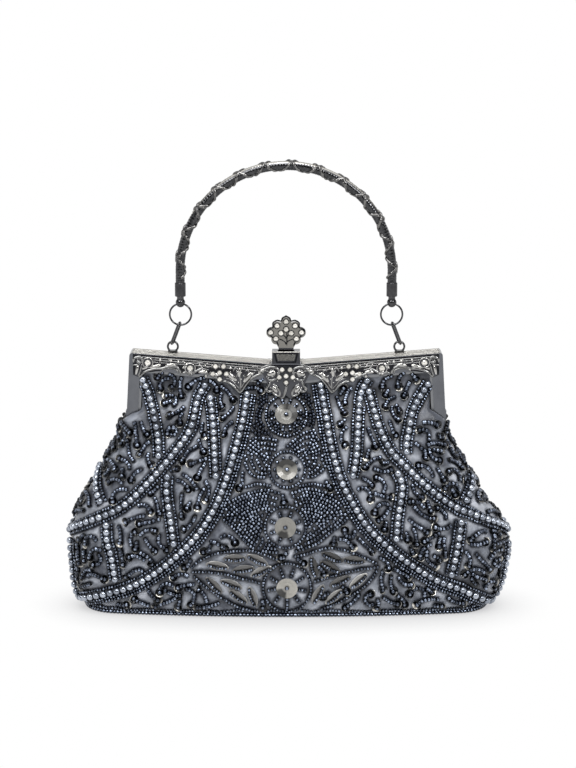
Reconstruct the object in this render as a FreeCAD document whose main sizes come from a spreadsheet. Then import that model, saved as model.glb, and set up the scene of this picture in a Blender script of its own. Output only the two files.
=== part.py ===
import FreeCAD, Part
import math
import os
import re

import Sketcher

Vector = FreeCAD.Vector
os.makedirs("parts", exist_ok=True)
doc = FreeCAD.newDocument("FramePurse")

# Driving sizes in millimetres, angles in degrees
# X runs along the frame, Y from front to back, Z up from the base
sizes = (
    # Frame halves: sheet channels that meet at the middle plane
    ("frame_half_width", 89.5),
    ("frame_end_height", 151.2),
    ("frame_mid_height", 144.8),
    ("frame_mid_flat", 10.0),
    ("frame_half_depth", 8.0),
    ("frame_sheet", 1.0),
    ("frame_gap", 0.3),
    ("frame_corner", 1.6),
    ("flange_drop", 10.0),
    ("arm_flange", 6.5),
    ("arm_foot_half_width", 92.3),
    ("arm_foot_height", 104.0),
    # Hinge ears and rivets at the arm feet
    ("hinge_height", 106.0),
    ("ear_radius", 4.0),
    ("ear_sheet", 1.0),
    ("ear_gap", 0.45),
    ("ear_neck_depth", 5.4),
    ("ear_neck_rise", 11.0),
    ("rivet_radius", 1.2),
    ("rivet_clearance", 0.06),
    ("rivet_head_radius", 2.4),
    ("rivet_head", 1.1),
    ("rivet_head_gap", 0.1),
    # Clamp strips that hold the cloth behind the flanges
    ("strip_sheet", 0.8),
    ("strip_ledge", 1.5),
    ("strip_gap", 0.4),
    ("strip_foot_rise", 4.0),
    # Friezes and their stones
    ("frieze_sheet", 1.5),
    ("frieze_half_length", 87.5),
    ("frieze_top_margin", 0.8),
    ("frieze_drop", 20.4),
    ("bezel_wall", 0.8),
    ("bezel_height", 0.7),
    ("large_stone_radius", 1.9),
    ("small_stone_radius", 1.35),
    ("stone_height", 1.1),
    ("outer_stone_place", 79.0),
    ("outer_stone_drop", 4.6),
    ("inner_stone_place", 54.8),
    ("inner_stone_drop", 5.9),
    ("side_flower_place", 38.0),
    ("side_flower_drop", 7.2),
    ("mid_flower_drop", 6.9),
    ("flower_petal_place", 3.7),
    # Clasp box on the level middle of the front half
    ("box_half_width", 8.0),
    ("box_height", 7.0),
    ("box_back", 2.0),
    ("box_wall", 0.9),
    ("box_sill_gap", 0.25),
    ("box_corner", 1.2),
    ("box_slot_half_width", 4.8),
    ("box_slot_front", 6.9),
    ("box_slot_back", 1.9),
    ("box_window_half_width", 3.6),
    ("box_window_height", 2.4),
    # Clasp lever, its pin, fan plate and stones
    ("pin_radius", 0.8),
    ("pin_clearance", 0.06),
    ("pin_rise", 4.0),
    ("pin_depth", 3.4),
    ("hub_radius", 1.7),
    ("stem_half_width", 4.3),
    ("stem_sheet", 1.6),
    ("stem_back", 2.4),
    ("stem_height", 11.0),
    ("toe_reach", 3.2),
    ("toe_sheet", 1.2),
    ("toe_rise", 2.0),
    ("fan_sheet", 2.0),
    ("fan_half_width", 11.2),
    ("fan_height", 19.6),
    ("fan_foot_rise", 1.9),
    ("fan_lobe_radius", 3.0),
    ("fan_stone_radius", 1.45),
    # Latch tongue of spring steel and leaf spring below the toe
    ("tongue_half_width", 3.0),
    ("tongue_sheet", 0.6),
    ("tongue_rise", 1.1),
    ("tongue_tail", 6.5),
    ("tongue_bend", 1.2),
    ("tongue_reach", 6.4),
    ("barb_height", 1.3),
    ("barb_back", 0.7),
    ("leaf_side", 3.3),
    ("leaf_width", 0.9),
    ("leaf_sheet", 0.4),
    ("leaf_foot", 2.0),
    ("leaf_reach", 6.2),
    ("leaf_rise", 1.6),
    # Handle lugs, links and rings
    ("handle_depth", 4.0),
    ("lug_spread", 4.6),
    ("lug_base_width", 5.4),
    ("lug_base_depth", 4.0),
    ("lug_base_height", 1.5),
    ("eye_radius", 2.9),
    ("eye_wire_radius", 0.6),
    ("eye_rise", 3.55),
    ("link_wire_radius", 0.6),
    ("link_bend_radius", 2.0),
    ("link_pitch", 10.4),
    ("link_slack", 0.35),
    ("link_twist", 18.0),
    ("ring_radius", 6.2),
    ("ring_wire_radius", 0.55),
    ("ring_hook_place", 0.9),
    # Handle: arched tube, ferrules and ball ends
    ("handle_radius", 60.7),
    ("handle_tube_radius", 3.0),
    ("handle_wall", 0.8),
    ("handle_leg", 6.2),
    ("ferrule_radius", 3.15),
    ("ferrule_length", 8.1),
    ("ferrule_round", 0.5),
    ("neck_radius", 2.0),
    ("neck_length", 1.6),
    ("ball_radius", 2.8),
    ("ball_hole_radius", 1.25),
    ("ball_hole_drop", 0.35),
    ("ball_hole_depth", 1.0),
    # Pouch: satin shells, upper panels, base, lining and pocket
    ("pouch_half_width", 126.0),
    ("pouch_half_depth", 31.0),
    ("pouch_rim_height", 103.0),
    ("pouch_wall", 1.2),
    ("bead_band_rise", 2.6),
    ("bead_band_half_width", 3.4),
    ("upper_panel_sheet", 1.0),
    ("upper_panel_gap", 0.1),
    ("front_panel_swing", 18.0),
    ("rear_panel_gap", 0.2),
    ("upper_panel_foot", 100.5),
    ("upper_panel_top_gap", 1.5),
    ("upper_panel_flat_gap", 2.7),
    ("base_sheet", 1.2),
    ("board_sheet", 1.8),
    ("board_margin", 7.0),
    ("lay_gap", 0.15),
    ("lining_sheet", 0.6),
    ("lining_rim_drop", 1.0),
    ("pocket_sheet", 0.5),
    ("pocket_half_width", 55.0),
    ("pocket_foot", 38.0),
    ("pocket_height", 48.0),
    ("piping_radius", 1.2),
    ("piping_clearance", 0.2),
    # One overrun for all cuts
    ("overrun", 5.0),
)
sheet = doc.addObject("Spreadsheet::Sheet", "Sizes")
for row, (alias, value) in enumerate(sizes, 1):
    sheet.set(f"A{row}", alias)
    sheet.set(f"B{row}", str(value))
    sheet.setAlias(f"B{row}", alias)
doc.recompute()
aliases = {alias for alias, _ in sizes}
size = {alias: float(sheet.get(alias)) for alias in aliases}
lug_place = size["handle_radius"] + size["lug_spread"]

# Shapes of outlines, as shares of the sizes that they follow
# Pouch sections: height, half width, half depth, each as a share
pouch_section_shares = (
    (0.0, 0.889, 0.806),
    (0.04, 0.940, 0.878),
    (0.10, 0.972, 0.930),
    (0.20, 0.990, 0.975),
    (0.41, 1.0, 1.0),
    (0.59, 0.964, 0.968),
    (0.79, 0.867, 0.868),
    (0.895, 0.813, 0.780),
    (1.0, 0.765, 0.680),
)
pouch_side_round_share = 0.75
# Bead bands: start, middle and end of an arc, as half width share and rim height share
bead_band_shares = (
    ((0.235, 0.95), (0.403, 0.482), (0.872, 0.095)),
    ((0.495, 0.94), (0.686, 0.69), (0.90, 0.51)),
    ((0.326, 0.93), (0.322, 0.87), (0.317, 0.81)),
    ((0.54, 0.795), (0.535, 0.61), (0.513, 0.43)),
    ((0.823, 0.505), (0.812, 0.36), (0.784, 0.20)),
)
# Upper panel bulge: height share below its flat part, depth share of its foot
front_bulge_shares = (
    (0.0, 0.94),
    (0.18, 1.0),
    (0.375, 0.945),
    (0.55, 0.78),
    (0.68, 0.59),
    (0.81, 0.42),
)
rear_bulge_shares = (
    (0.0, 1.0),
    (0.07, 1.0),
    (0.18, 0.985),
    (0.375, 0.90),
    (0.55, 0.73),
    (0.68, 0.55),
    (0.81, 0.39),
)
# Frieze lower edge from the middle out: length share, drop share
frieze_edge_shares = (
    (0.0, 0.88),
    (0.03, 1.0),
    (0.10, 0.78),
    (0.155, 0.27),
    (0.25, 0.55),
    (0.313, 0.90),
    (0.36, 0.68),
    (0.435, 0.58),
    (0.53, 0.38),
    (0.58, 0.44),
    (0.626, 0.46),
    (0.70, 0.42),
    (0.765, 0.30),
    (0.83, 0.44),
    (0.92, 0.52),
    (0.97, 0.66),
    (1.0, 0.60),
)
# Flower stones about a middle one, as shares of the petal place
flower_petal_shares = (
    (0.0, 0.0),
    (-0.62, 1.0),
    (0.62, 1.0),
    (-1.05, -0.19),
    (1.05, -0.19),
    (0.0, -1.03),
)
# Fan lobes and stones: side share of half width, rise share of height
fan_lobe_shares = (
    (0.0, 0.84),
    (0.45, 0.71),
    (0.74, 0.55),
    (0.49, 0.35),
)
fan_stone_shares = (
    (0.0, 0.87),
    (0.46, 0.75),
    (0.79, 0.55),
    (0.0, 0.645),
    (0.26, 0.53),
    (0.52, 0.365),
)
fan_web_shares = (
    (0.384, 0.0),
    (0.56, 0.30),
    (0.88, 0.50),
    (0.60, 0.74),
    (0.0, 0.92),
)
stone_table_share = 0.6
stone_girdle_share = 0.35


def bound(text):
    """Expression text with each size name pointed at its sheet cell."""
    return re.sub(
        r"[a-z][a-z_]*",
        lambda word: f"Sizes.{word.group()}" if word.group() in aliases else word.group(),
        text,
    )


def worth(text):
    return float(sheet.evalExpression(bound(text)))


def new_body(label):
    body = doc.addObject("PartDesign::Body", label)
    body.Label = label
    return body


def new_sketch(body, role, offset):
    sketch = body.newObject("Sketcher::SketchObject", f"{body.Name}_sketch")
    plane = next(face for face in body.Origin.OriginFeatures if face.Role == role)
    sketch.AttachmentSupport = [(plane, "")]
    sketch.MapMode = "FlatFace"
    sketch.setExpression("AttachmentOffset.Base.z", bound(offset))
    return sketch


def hold(sketch, kind, element, point, text):
    """One place or size of a sketch, bound to the sheet."""
    value = worth(text)
    if point is None:
        rule = Sketcher.Constraint(kind, element, value)
    else:
        rule = Sketcher.Constraint(kind, element, point, value)
    index = sketch.addConstraint(rule)
    sketch.setExpression(f"Constraints[{index}]", bound(text))


def outline(body, role, corners, offset="0"):
    """Closed sketch of straight edges; corners are pairs of expressions."""
    sketch = new_sketch(body, role, offset)
    points = [Vector(worth(across), worth(up), 0) for across, up in corners]
    count = len(points)
    for index in range(count):
        sketch.addGeometry(Part.LineSegment(points[index], points[(index + 1) % count]))
    for index in range(count):
        rule = Sketcher.Constraint("Coincident", index, 2, (index + 1) % count, 1)
        sketch.addConstraint(rule)
    for index, (across, up) in enumerate(corners):
        hold(sketch, "DistanceX", index, 1, across)
        hold(sketch, "DistanceY", index, 1, up)
    return sketch


def circle(body, role, across, up, radius, offset="0"):
    sketch = new_sketch(body, role, offset)
    middle = Vector(worth(across), worth(up), 0)
    sketch.addGeometry(Part.Circle(middle, Vector(0, 0, 1), worth(radius)))
    hold(sketch, "DistanceX", 0, 3, across)
    hold(sketch, "DistanceY", 0, 3, up)
    hold(sketch, "Radius", 0, None, radius)
    return sketch


def rectangle(left, right, low, high):
    return ((left, low), (right, low), (right, high), (left, high))


def pad(body, sketch, length, back=False):
    feature = body.newObject("PartDesign::Pad", f"{body.Name}_pad")
    feature.Profile = sketch
    feature.Reversed = back
    feature.setExpression("Length", bound(length))
    return feature


def pocket(body, sketch, length, ahead=False):
    """Cut against the sketch normal, or along it where ahead is set."""
    before = solid_of(body).Volume
    feature = body.newObject("PartDesign::Pocket", f"{body.Name}_pocket")
    feature.Profile = sketch
    feature.Reversed = ahead
    feature.setExpression("Length", bound(length))
    after = solid_of(body).Volume
    if after >= before:
        raise ValueError(f"{body.Label}: a pocket cut nothing")
    return feature


def solid_of(thing):
    doc.recompute()
    return thing.Shape


def put(label, shape):
    """A piece whose shape is made with Part functions."""
    piece = doc.addObject("Part::Feature", label)
    piece.Label = label
    piece.Shape = shape
    return piece


def block(low, high):
    span = high - low
    return Part.makeBox(span.x, span.y, span.z, low)


def prism(points, depth):
    face = Part.Face(Part.makePolygon(points + points[:1]))
    return face.extrude(depth)


def merged(shapes):
    return shapes[0].multiFuse(shapes[1:]).removeSplitter()


def mirrored_x(shape):
    return shape.mirror(Vector(0, 0, 0), Vector(1, 0, 0))


def mirrored_y(shape):
    return shape.mirror(Vector(0, 0, 0), Vector(0, 1, 0))


def frame_top(place):
    """Height of the top bar at a distance from the middle."""
    run = size["frame_half_width"] - size["frame_mid_flat"]
    rise = size["frame_end_height"] - size["frame_mid_height"]
    past = max(0.0, abs(place) - size["frame_mid_flat"])
    return size["frame_mid_height"] + rise * past / run


# Frame halves: U-shaped sheet channels, open toward the middle plane
def arm_side(height):
    """Half width over the flared arms at one height, as an expression."""
    flare = "(arm_foot_half_width - frame_half_width)"
    share = f"(frame_end_height - ({height})) / (frame_end_height - arm_foot_height)"
    return f"(frame_half_width + {flare} * {share})"


def u_line(side, top, foot):
    """Line of the U moved in from the outside, as expressions."""
    end = f"(frame_end_height - ({top}))"
    mid = f"(frame_mid_height - ({top}))"
    arm = f"({arm_side(foot)} - ({side}))"
    head = f"({arm_side(end)} - ({side}))"
    return (
        (f"-{arm}", foot),
        (f"-{head}", end),
        ("-frame_mid_flat", mid),
        ("frame_mid_flat", mid),
        (head, end),
        (arm, foot),
    )


def u_corners(inset, side, top, foot):
    """Closed outline between two lines of the U."""
    return u_line(inset, inset, foot) + tuple(reversed(u_line(side, top, foot)))


def frame_half(label, front):
    """Channel, hinge ears and rivet holes of one half."""
    body = new_body(label)
    start = "frame_gap / 2" if front else "-frame_gap / 2"
    corners = u_corners("0", "arm_flange", "flange_drop", "arm_foot_height")
    length = "frame_half_depth - frame_gap / 2"
    pad(body, outline(body, "XZ_Plane", corners, start), length, back=not front)
    hollow = u_line("frame_sheet", "frame_sheet", "(arm_foot_height - overrun)")
    cut = f"{length} - frame_sheet"
    pocket(body, outline(body, "XZ_Plane", hollow, start), cut, ahead=front)
    ear_out = "arm_foot_half_width" if front else "arm_foot_half_width - ear_sheet - ear_gap"
    hole = "rivet_radius + rivet_clearance" if front else "rivet_radius"
    neck = ("-ear_neck_depth", "-frame_gap") if front else ("frame_gap", "ear_neck_depth")
    top = "hinge_height + ear_neck_rise"
    for side in (1, -1):
        face = f"{side} * ({ear_out})"
        inward = side > 0
        if not front:
            seat = f"{side} * (arm_foot_half_width - ear_sheet - ear_gap / 2)"
            disc = circle(body, "YZ_Plane", "0", "hinge_height", "ear_radius + ear_gap", seat)
            pocket(body, disc, "overrun", ahead=side > 0)
        disc = circle(body, "YZ_Plane", "0", "hinge_height", "ear_radius", face)
        pad(body, disc, "ear_sheet", back=inward)
        shank = rectangle(neck[0], neck[1], "hinge_height", top)
        pad(body, outline(body, "YZ_Plane", shank, face), "ear_sheet", back=inward)
        bore = circle(body, "YZ_Plane", "0", "hinge_height", hole, face)
        pocket(body, bore, "ear_sheet + ear_gap", ahead=not inward)
    return body


def hinge_rivet(label, side):
    """Shank through both ears with a head on each side."""
    inner = size["arm_foot_half_width"] - 2 * size["ear_sheet"] - size["ear_gap"]
    outer = size["arm_foot_half_width"] + size["rivet_head_gap"]
    stages = (
        (inner - size["rivet_head"], size["rivet_head"], size["rivet_head_radius"]),
        (inner, outer - inner, size["rivet_radius"]),
        (outer, size["rivet_head"], size["rivet_head_radius"]),
    )
    solids = [
        Part.makeCylinder(
            radius, length, Vector(side * start, 0, size["hinge_height"]), Vector(side, 0, 0)
        )
        for start, length, radius in stages
    ]
    return put(label, merged(solids))


def clamp_strip(label, front):
    """U-shaped strip behind the flange that grips the cloth edge."""
    body = new_body(label)
    flange_back = "frame_half_depth - frame_sheet"
    start = flange_back if front else f"-({flange_back})"
    corners = u_corners(
        "frame_sheet + strip_gap",
        "arm_flange + strip_ledge",
        "flange_drop + strip_ledge",
        "arm_foot_height + strip_foot_rise",
    )
    pad(body, outline(body, "XZ_Plane", corners, start), "strip_sheet", back=front)
    return body


front_frame = frame_half("front_frame", True)
rear_frame = frame_half("rear_frame", False)
for half in (front_frame, rear_frame):
    solid = solid_of(half)
    top_edges = [
        f"Edge{index}"
        for index, edge in enumerate(solid.Edges, 1)
        if abs(edge.BoundBox.XLength) < size["frame_gap"]
        and abs(edge.BoundBox.ZLength) < size["frame_gap"]
        and abs(edge.BoundBox.ZMax - size["frame_end_height"]) < size["frame_gap"]
    ]
    corner = half.newObject("PartDesign::Fillet", f"{half.Name}_corners")
    corner.Base = (corner.BaseFeature, top_edges)
    corner.setExpression("Radius", bound("frame_corner"))
hinge_rivet("left_hinge_rivet", -1)
hinge_rivet("right_hinge_rivet", 1)
clamp_strip("front_clamp_strip", True)
clamp_strip("rear_clamp_strip", False)


# Friezes: a stamped plate in front of each top bar with its bezels
def on_frieze(place, drop):
    return Vector(place, -size["frame_half_depth"], frame_top(place) - drop)


def frieze_plate():
    length = size["frieze_half_length"]
    lower = [
        on_frieze(length * along, size["frieze_drop"] * drop)
        for along, drop in frieze_edge_shares
    ]
    upper = [
        on_frieze(length, size["frieze_top_margin"]),
        on_frieze(size["frame_mid_flat"], size["frieze_top_margin"]),
    ]
    mirror = [Vector(-point.x, point.y, point.z) for point in lower[1:] + upper]
    return prism(lower + upper + mirror[::-1], Vector(0, -size["frieze_sheet"], 0))


def stone_places():
    """Middle and radius of each stone, both sides."""
    singles = (
        (size["outer_stone_place"], size["outer_stone_drop"]),
        (size["inner_stone_place"], size["inner_stone_drop"]),
    )
    flowers = (
        (0.0, size["mid_flower_drop"]),
        (size["side_flower_place"], size["side_flower_drop"]),
        (-size["side_flower_place"], size["side_flower_drop"]),
    )
    places = []
    for place, drop in singles:
        for side in (1, -1):
            places.append((on_frieze(side * place, drop), size["large_stone_radius"]))
    for place, drop in flowers:
        middle = on_frieze(place, drop)
        for across, up in flower_petal_shares:
            petal = Vector(across, 0, up) * size["flower_petal_place"]
            places.append((middle + petal, size["small_stone_radius"]))
    return places


def cut_stone(seat, radius):
    """Round stone: a short girdle below a sloped crown, facing front."""
    girdle = stone_girdle_share * size["stone_height"]
    crown = size["stone_height"] - girdle
    ahead = Vector(0, -1, 0)
    lower = Part.makeCylinder(radius, girdle, seat, ahead)
    table = radius * stone_table_share
    upper = Part.makeCone(radius, table, crown, seat + ahead * girdle, ahead)
    return merged([lower, upper])


plate = frieze_plate()
plate_front = Vector(0, -size["frieze_sheet"], 0)
bezels = []
stones = []
for seat, radius in stone_places():
    seat = seat + plate_front
    stones.append(cut_stone(seat, radius))
    if radius == size["large_stone_radius"]:
        rim = radius + size["bezel_wall"]
        ring = Part.makeCylinder(rim, size["bezel_height"], seat, Vector(0, -1, 0))
        bore = Part.makeCylinder(radius, size["bezel_height"], seat, Vector(0, -1, 0))
        bezels.append(ring.cut(bore))
frieze = merged([plate] + bezels)
put("front_frieze", frieze)
put("rear_frieze", mirrored_y(frieze))
put("front_stones", Part.makeCompound(stones))
put("rear_stones", Part.makeCompound([mirrored_y(stone) for stone in stones]))

# Clasp box: a folded box on the front half, open below
clasp_box = new_body("clasp_box")
box_foot = "frame_mid_height"
box_top = "(frame_mid_height + box_height)"
front_y = "-frame_half_depth"
shell = rectangle("-box_half_width", "box_half_width", front_y, "box_back")
pad(clasp_box, outline(clasp_box, "XY_Plane", shell, box_foot), "box_height")
hollow = rectangle(
    "-(box_half_width - box_wall)",
    "box_half_width - box_wall",
    f"{front_y} + box_wall",
    "box_back - box_wall",
)
pocket(
    clasp_box,
    outline(clasp_box, "XY_Plane", hollow, box_foot),
    "box_height - box_wall",
    ahead=True,
)
slot = rectangle(
    "-box_slot_half_width", "box_slot_half_width", "-box_slot_front", "-box_slot_back"
)
pocket(
    clasp_box,
    outline(clasp_box, "XY_Plane", slot, f"{box_top} - box_wall - overrun"),
    "2 * overrun",
    ahead=True,
)
window = rectangle(
    "-box_window_half_width",
    "box_window_half_width",
    f"{box_foot} - overrun",
    f"{box_foot} + box_window_height",
)
pocket(
    clasp_box,
    outline(clasp_box, "XZ_Plane", window, "box_wall - box_back"),
    "box_wall + overrun",
)
sill = rectangle("-overrun - box_half_width", "overrun + box_half_width", "0", "overrun")
pocket(
    clasp_box,
    outline(clasp_box, "XY_Plane", sill, f"{box_foot} - overrun"),
    "overrun + box_sill_gap",
    ahead=True,
)
pin_height = f"{box_foot} + pin_rise"
bore = circle(clasp_box, "YZ_Plane", "-pin_depth", pin_height, "pin_radius", "-box_half_width")
pocket(clasp_box, bore, "2 * box_half_width", ahead=True)
solid = solid_of(clasp_box)
low_corners = [
    f"Edge{index}"
    for index, edge in enumerate(solid.Edges, 1)
    if abs(edge.BoundBox.XLength) < size["frame_gap"]
    and abs(edge.BoundBox.YLength) < size["frame_gap"]
    and abs(edge.BoundBox.YMin + size["frame_half_depth"]) < size["frame_gap"]
    and abs(abs(edge.BoundBox.XMin) - size["box_half_width"]) < size["frame_gap"]
]
rounded = clasp_box.newObject("PartDesign::Fillet", "clasp_box_corners")
rounded.Base = (rounded.BaseFeature, low_corners)
rounded.setExpression("Radius", bound("box_corner - box_wall / 2"))

# Clasp pin: fixed in the box walls, the lever turns on it
clasp_pin = doc.addObject("Part::Cylinder", "clasp_pin")
clasp_pin.setExpression("Radius", bound("pin_radius"))
clasp_pin.setExpression("Height", bound("2 * box_half_width"))
clasp_pin.Placement.Rotation = FreeCAD.Rotation(Vector(0, 1, 0), 90)
clasp_pin.setExpression("Placement.Base.x", bound("-box_half_width"))
clasp_pin.setExpression("Placement.Base.y", bound("-pin_depth"))
clasp_pin.setExpression("Placement.Base.z", bound("frame_mid_height + pin_rise"))

# Clasp lever: hub on the pin, stem up through the slot, toe in front
clasp_lever = new_body("clasp_lever")
pin_z = f"({box_foot} + pin_rise)"
side = "-stem_half_width"
hub = circle(clasp_lever, "YZ_Plane", "-pin_depth", pin_z, "hub_radius", side)
pad(clasp_lever, hub, "2 * stem_half_width")
stem = rectangle(
    "-stem_back - stem_sheet", "-stem_back", pin_z, f"{pin_z} + stem_height"
)
pad(clasp_lever, outline(clasp_lever, "YZ_Plane", stem, side), "2 * stem_half_width")
toe = rectangle(
    "-pin_depth - toe_reach",
    "-pin_depth",
    f"{box_foot} + toe_rise",
    f"{box_foot} + toe_rise + toe_sheet",
)
pad(clasp_lever, outline(clasp_lever, "YZ_Plane", toe, side), "2 * stem_half_width")
lever_bore = circle(
    clasp_lever, "YZ_Plane", "-pin_depth", pin_z, "pin_radius + pin_clearance", side
)
pocket(clasp_lever, lever_bore, "2 * stem_half_width", ahead=True)

# Fan plate: scalloped shell on the front of the stem, with its stones
fan_back = -size["stem_back"] - size["stem_sheet"]
fan_base = size["frame_mid_height"] + size["box_height"]


def on_fan(across, up, side=1):
    return Vector(
        side * across * size["fan_half_width"], fan_back, fan_base + up * size["fan_height"]
    )


fan_depth = Vector(0, -size["fan_sheet"], 0)
fan_foot_share = size["fan_foot_rise"] / size["fan_height"]
web = []
for across, up in fan_web_shares:
    web.append(on_fan(across, max(up, fan_foot_share)))
web += [Vector(-point.x, point.y, point.z) for point in reversed(web[:-1])]
lobes = []
for across, up in fan_lobe_shares:
    for side in (1, -1) if across else (1,):
        seat = on_fan(across, up, side)
        lobes.append(
            Part.makeCylinder(
                size["fan_lobe_radius"], size["fan_sheet"], seat, Vector(0, -1, 0)
            )
        )
put("fan_plate", merged([prism(web, fan_depth)] + lobes))
fan_stones = []
for across, up in fan_stone_shares:
    for side in (1, -1) if across else (1,):
        seat = on_fan(across, up, side) + fan_depth
        fan_stones.append(cut_stone(seat, size["fan_stone_radius"]))
put("fan_stones", Part.makeCompound(fan_stones))

# Latch tongue: spring steel on the rear half, its barb behind the box wall
latch_tongue = new_body("latch_tongue")
crest = f"({box_foot} + tongue_rise)"
tongue = (
    ("tongue_tail", box_foot),
    ("tongue_bend", box_foot),
    ("0", f"{crest}"),
    ("-tongue_reach", crest),
    ("-tongue_reach", f"{crest} + tongue_sheet"),
    ("0", f"{crest} + tongue_sheet"),
    ("0", f"{crest} + tongue_sheet + barb_height"),
    ("barb_back", f"{crest} + tongue_sheet + barb_height"),
    ("barb_back", f"{crest} + tongue_sheet / 2"),
    ("tongue_bend + tongue_sheet", f"{box_foot} + tongue_sheet"),
    ("tongue_tail", f"{box_foot} + tongue_sheet"),
)
pad(
    latch_tongue,
    outline(latch_tongue, "YZ_Plane", tongue, "-tongue_half_width"),
    "2 * tongue_half_width",
)

# Lever spring: a leaf on the bar that lifts the toe
lever_spring = new_body("lever_spring")
leaf = (
    ("-leaf_foot", box_foot),
    ("-leaf_foot", f"{box_foot} + leaf_sheet"),
    ("-leaf_reach", f"{box_foot} + leaf_rise + leaf_sheet - lay_gap"),
    ("-leaf_reach", f"{box_foot} + leaf_rise - lay_gap"),
    ("-leaf_foot - leaf_sheet", box_foot),
)
pad(lever_spring, outline(lever_spring, "YZ_Plane", leaf, "leaf_side"), "leaf_width")


# Handle lugs: a wire eye on a collar that follows the bar's slope
def handle_lug(label, side):
    half = size["lug_base_width"] / 2
    place = lug_place
    depth = size["lug_base_depth"]
    front = size["handle_depth"] - depth / 2
    top = frame_top(place) + size["lug_base_height"]
    corners = [
        Vector(side * (place - half), front, frame_top(place - half)),
        Vector(side * (place + half), front, frame_top(place + half)),
        Vector(side * (place + half), front, top),
        Vector(side * (place - half), front, top),
    ]
    collar = prism(corners, Vector(0, depth, 0))
    eye = Part.makeTorus(
        size["eye_radius"],
        size["eye_wire_radius"],
        Vector(side * place, size["handle_depth"], frame_top(place) + size["eye_rise"]),
        Vector(0, 1, 0),
    )
    below = block(
        Vector(-size["frame_half_width"], -size["overrun"], 0),
        Vector(size["frame_half_width"], size["frame_half_depth"], top - size["lug_base_height"] / 2),
    )
    return put(label, merged([collar, eye.cut(below)]))


handle_lug("left_lug", -1)
handle_lug("right_lug", 1)

# Chain places on the right side: lug wire, ring wire, ring middle, ball
eye_top = Vector(
    lug_place,
    size["handle_depth"],
    frame_top(lug_place) + size["eye_rise"] + size["eye_radius"],
)
ring_hook_x = size["handle_radius"] + size["ring_hook_place"]
link_lean = eye_top.x - ring_hook_x
link_rise = math.sqrt(size["link_pitch"] ** 2 - link_lean ** 2)
ring_foot = Vector(ring_hook_x, size["handle_depth"], eye_top.z + link_rise)
ring_drop = math.sqrt(size["ring_radius"] ** 2 - size["ring_hook_place"] ** 2)
ring_middle = Vector(size["handle_radius"], size["handle_depth"], ring_foot.z + ring_drop)
ring_top = ring_middle + Vector(0, 0, size["ring_radius"])


def link_shape():
    """Oval wire link between the lug eye and the ring."""
    along = (ring_foot - eye_top).normalize()
    across = FreeCAD.Rotation(along, size["link_twist"]).multVec(Vector(0, 1, 0))
    bend = size["link_bend_radius"]
    lug_reach = size["eye_wire_radius"] + size["link_wire_radius"] + size["link_slack"]
    ring_reach = size["ring_wire_radius"] + size["link_wire_radius"] + size["link_slack"]
    low = eye_top - along * lug_reach
    high = ring_foot + along * ring_reach
    low_middle = low + along * bend
    high_middle = high - along * bend
    path = Part.Wire(
        [
            Part.makeLine(low_middle + across * bend, high_middle + across * bend),
            Part.Arc(high_middle + across * bend, high, high_middle - across * bend).toShape(),
            Part.makeLine(high_middle - across * bend, low_middle - across * bend),
            Part.Arc(low_middle - across * bend, low, low_middle + across * bend).toShape(),
        ]
    )
    start = low_middle + across * bend
    profile = Part.Wire(Part.makeCircle(size["link_wire_radius"], start, along))
    return path.makePipeShell([profile], True, False)


link = link_shape()
put("right_link", link)
put("left_link", mirrored_x(link))
for label, side in (("right_ring", 1), ("left_ring", -1)):
    place = Vector(side * ring_middle.x, ring_middle.y, ring_middle.z)
    torus = Part.makeTorus(
        size["ring_radius"], size["ring_wire_radius"], place, Vector(0, 1, 0)
    )
    put(label, torus)

# Ball ends: ball and neck, with the cross hole for the ring
hole_z = ring_top.z - size["ball_hole_drop"]
ball_z = hole_z + size["ball_hole_depth"]
neck_foot = ball_z + math.sqrt(size["ball_radius"] ** 2 - size["neck_radius"] ** 2)
ferrule_foot = neck_foot + size["neck_length"]
tube_foot = ferrule_foot + size["ferrule_length"]
for label, side in (("right_ball_end", 1), ("left_ball_end", -1)):
    seat = Vector(side * ring_middle.x, ring_middle.y, ball_z)
    neck_rise = ferrule_foot - ball_z
    ball = Part.makeSphere(size["ball_radius"], seat)
    neck = Part.makeCylinder(size["neck_radius"], neck_rise, seat)
    hole_start = Vector(seat.x - size["overrun"], seat.y, hole_z)
    hole = Part.makeCylinder(
        size["ball_hole_radius"], 2 * size["overrun"], hole_start, Vector(1, 0, 0)
    )
    put(label, merged([ball, neck]).cut(hole))

# Ferrules: rounded caps at the handle's feet
for label, side in (("right_ferrule", 1), ("left_ferrule", -1)):
    seat = Vector(side * ring_middle.x, ring_middle.y, ferrule_foot)
    cap = Part.makeCylinder(size["ferrule_radius"], size["ferrule_length"], seat)
    rims = [edge for edge in cap.Edges if edge.Curve.TypeId == "Part::GeomCircle"]
    put(label, cap.makeFillet(size["ferrule_round"], rims))

# Handle tube: straight legs and a half circle, hollow
handle_tube = new_body("handle_tube")
arch_z = tube_foot + size["handle_leg"]
path = new_sketch(handle_tube, "XZ_Plane", "-handle_depth")
reach = size["handle_radius"]
path.addGeometry(Part.LineSegment(Vector(-reach, tube_foot, 0), Vector(-reach, arch_z, 0)))
arc = Part.Arc(
    Vector(reach, arch_z, 0), Vector(0, arch_z + reach, 0), Vector(-reach, arch_z, 0)
)
path.addGeometry(arc)
path.addGeometry(Part.LineSegment(Vector(reach, arch_z, 0), Vector(reach, tube_foot, 0)))
wall_circle = new_sketch(handle_tube, "XY_Plane", str(tube_foot))
foot = Vector(-reach, size["handle_depth"], 0)
for radius in ("handle_tube_radius", "handle_tube_radius - handle_wall"):
    index = wall_circle.addGeometry(Part.Circle(foot, Vector(0, 0, 1), worth(radius)))
    hold(wall_circle, "DistanceX", index, 3, "-handle_radius")
    hold(wall_circle, "DistanceY", index, 3, "handle_depth")
    hold(wall_circle, "Radius", index, None, radius)
tube = handle_tube.newObject("PartDesign::AdditivePipe", "handle_tube_pipe")
tube.Profile = wall_circle
tube.Spine = (path, ["Edge1", "Edge2", "Edge3"])


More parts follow.
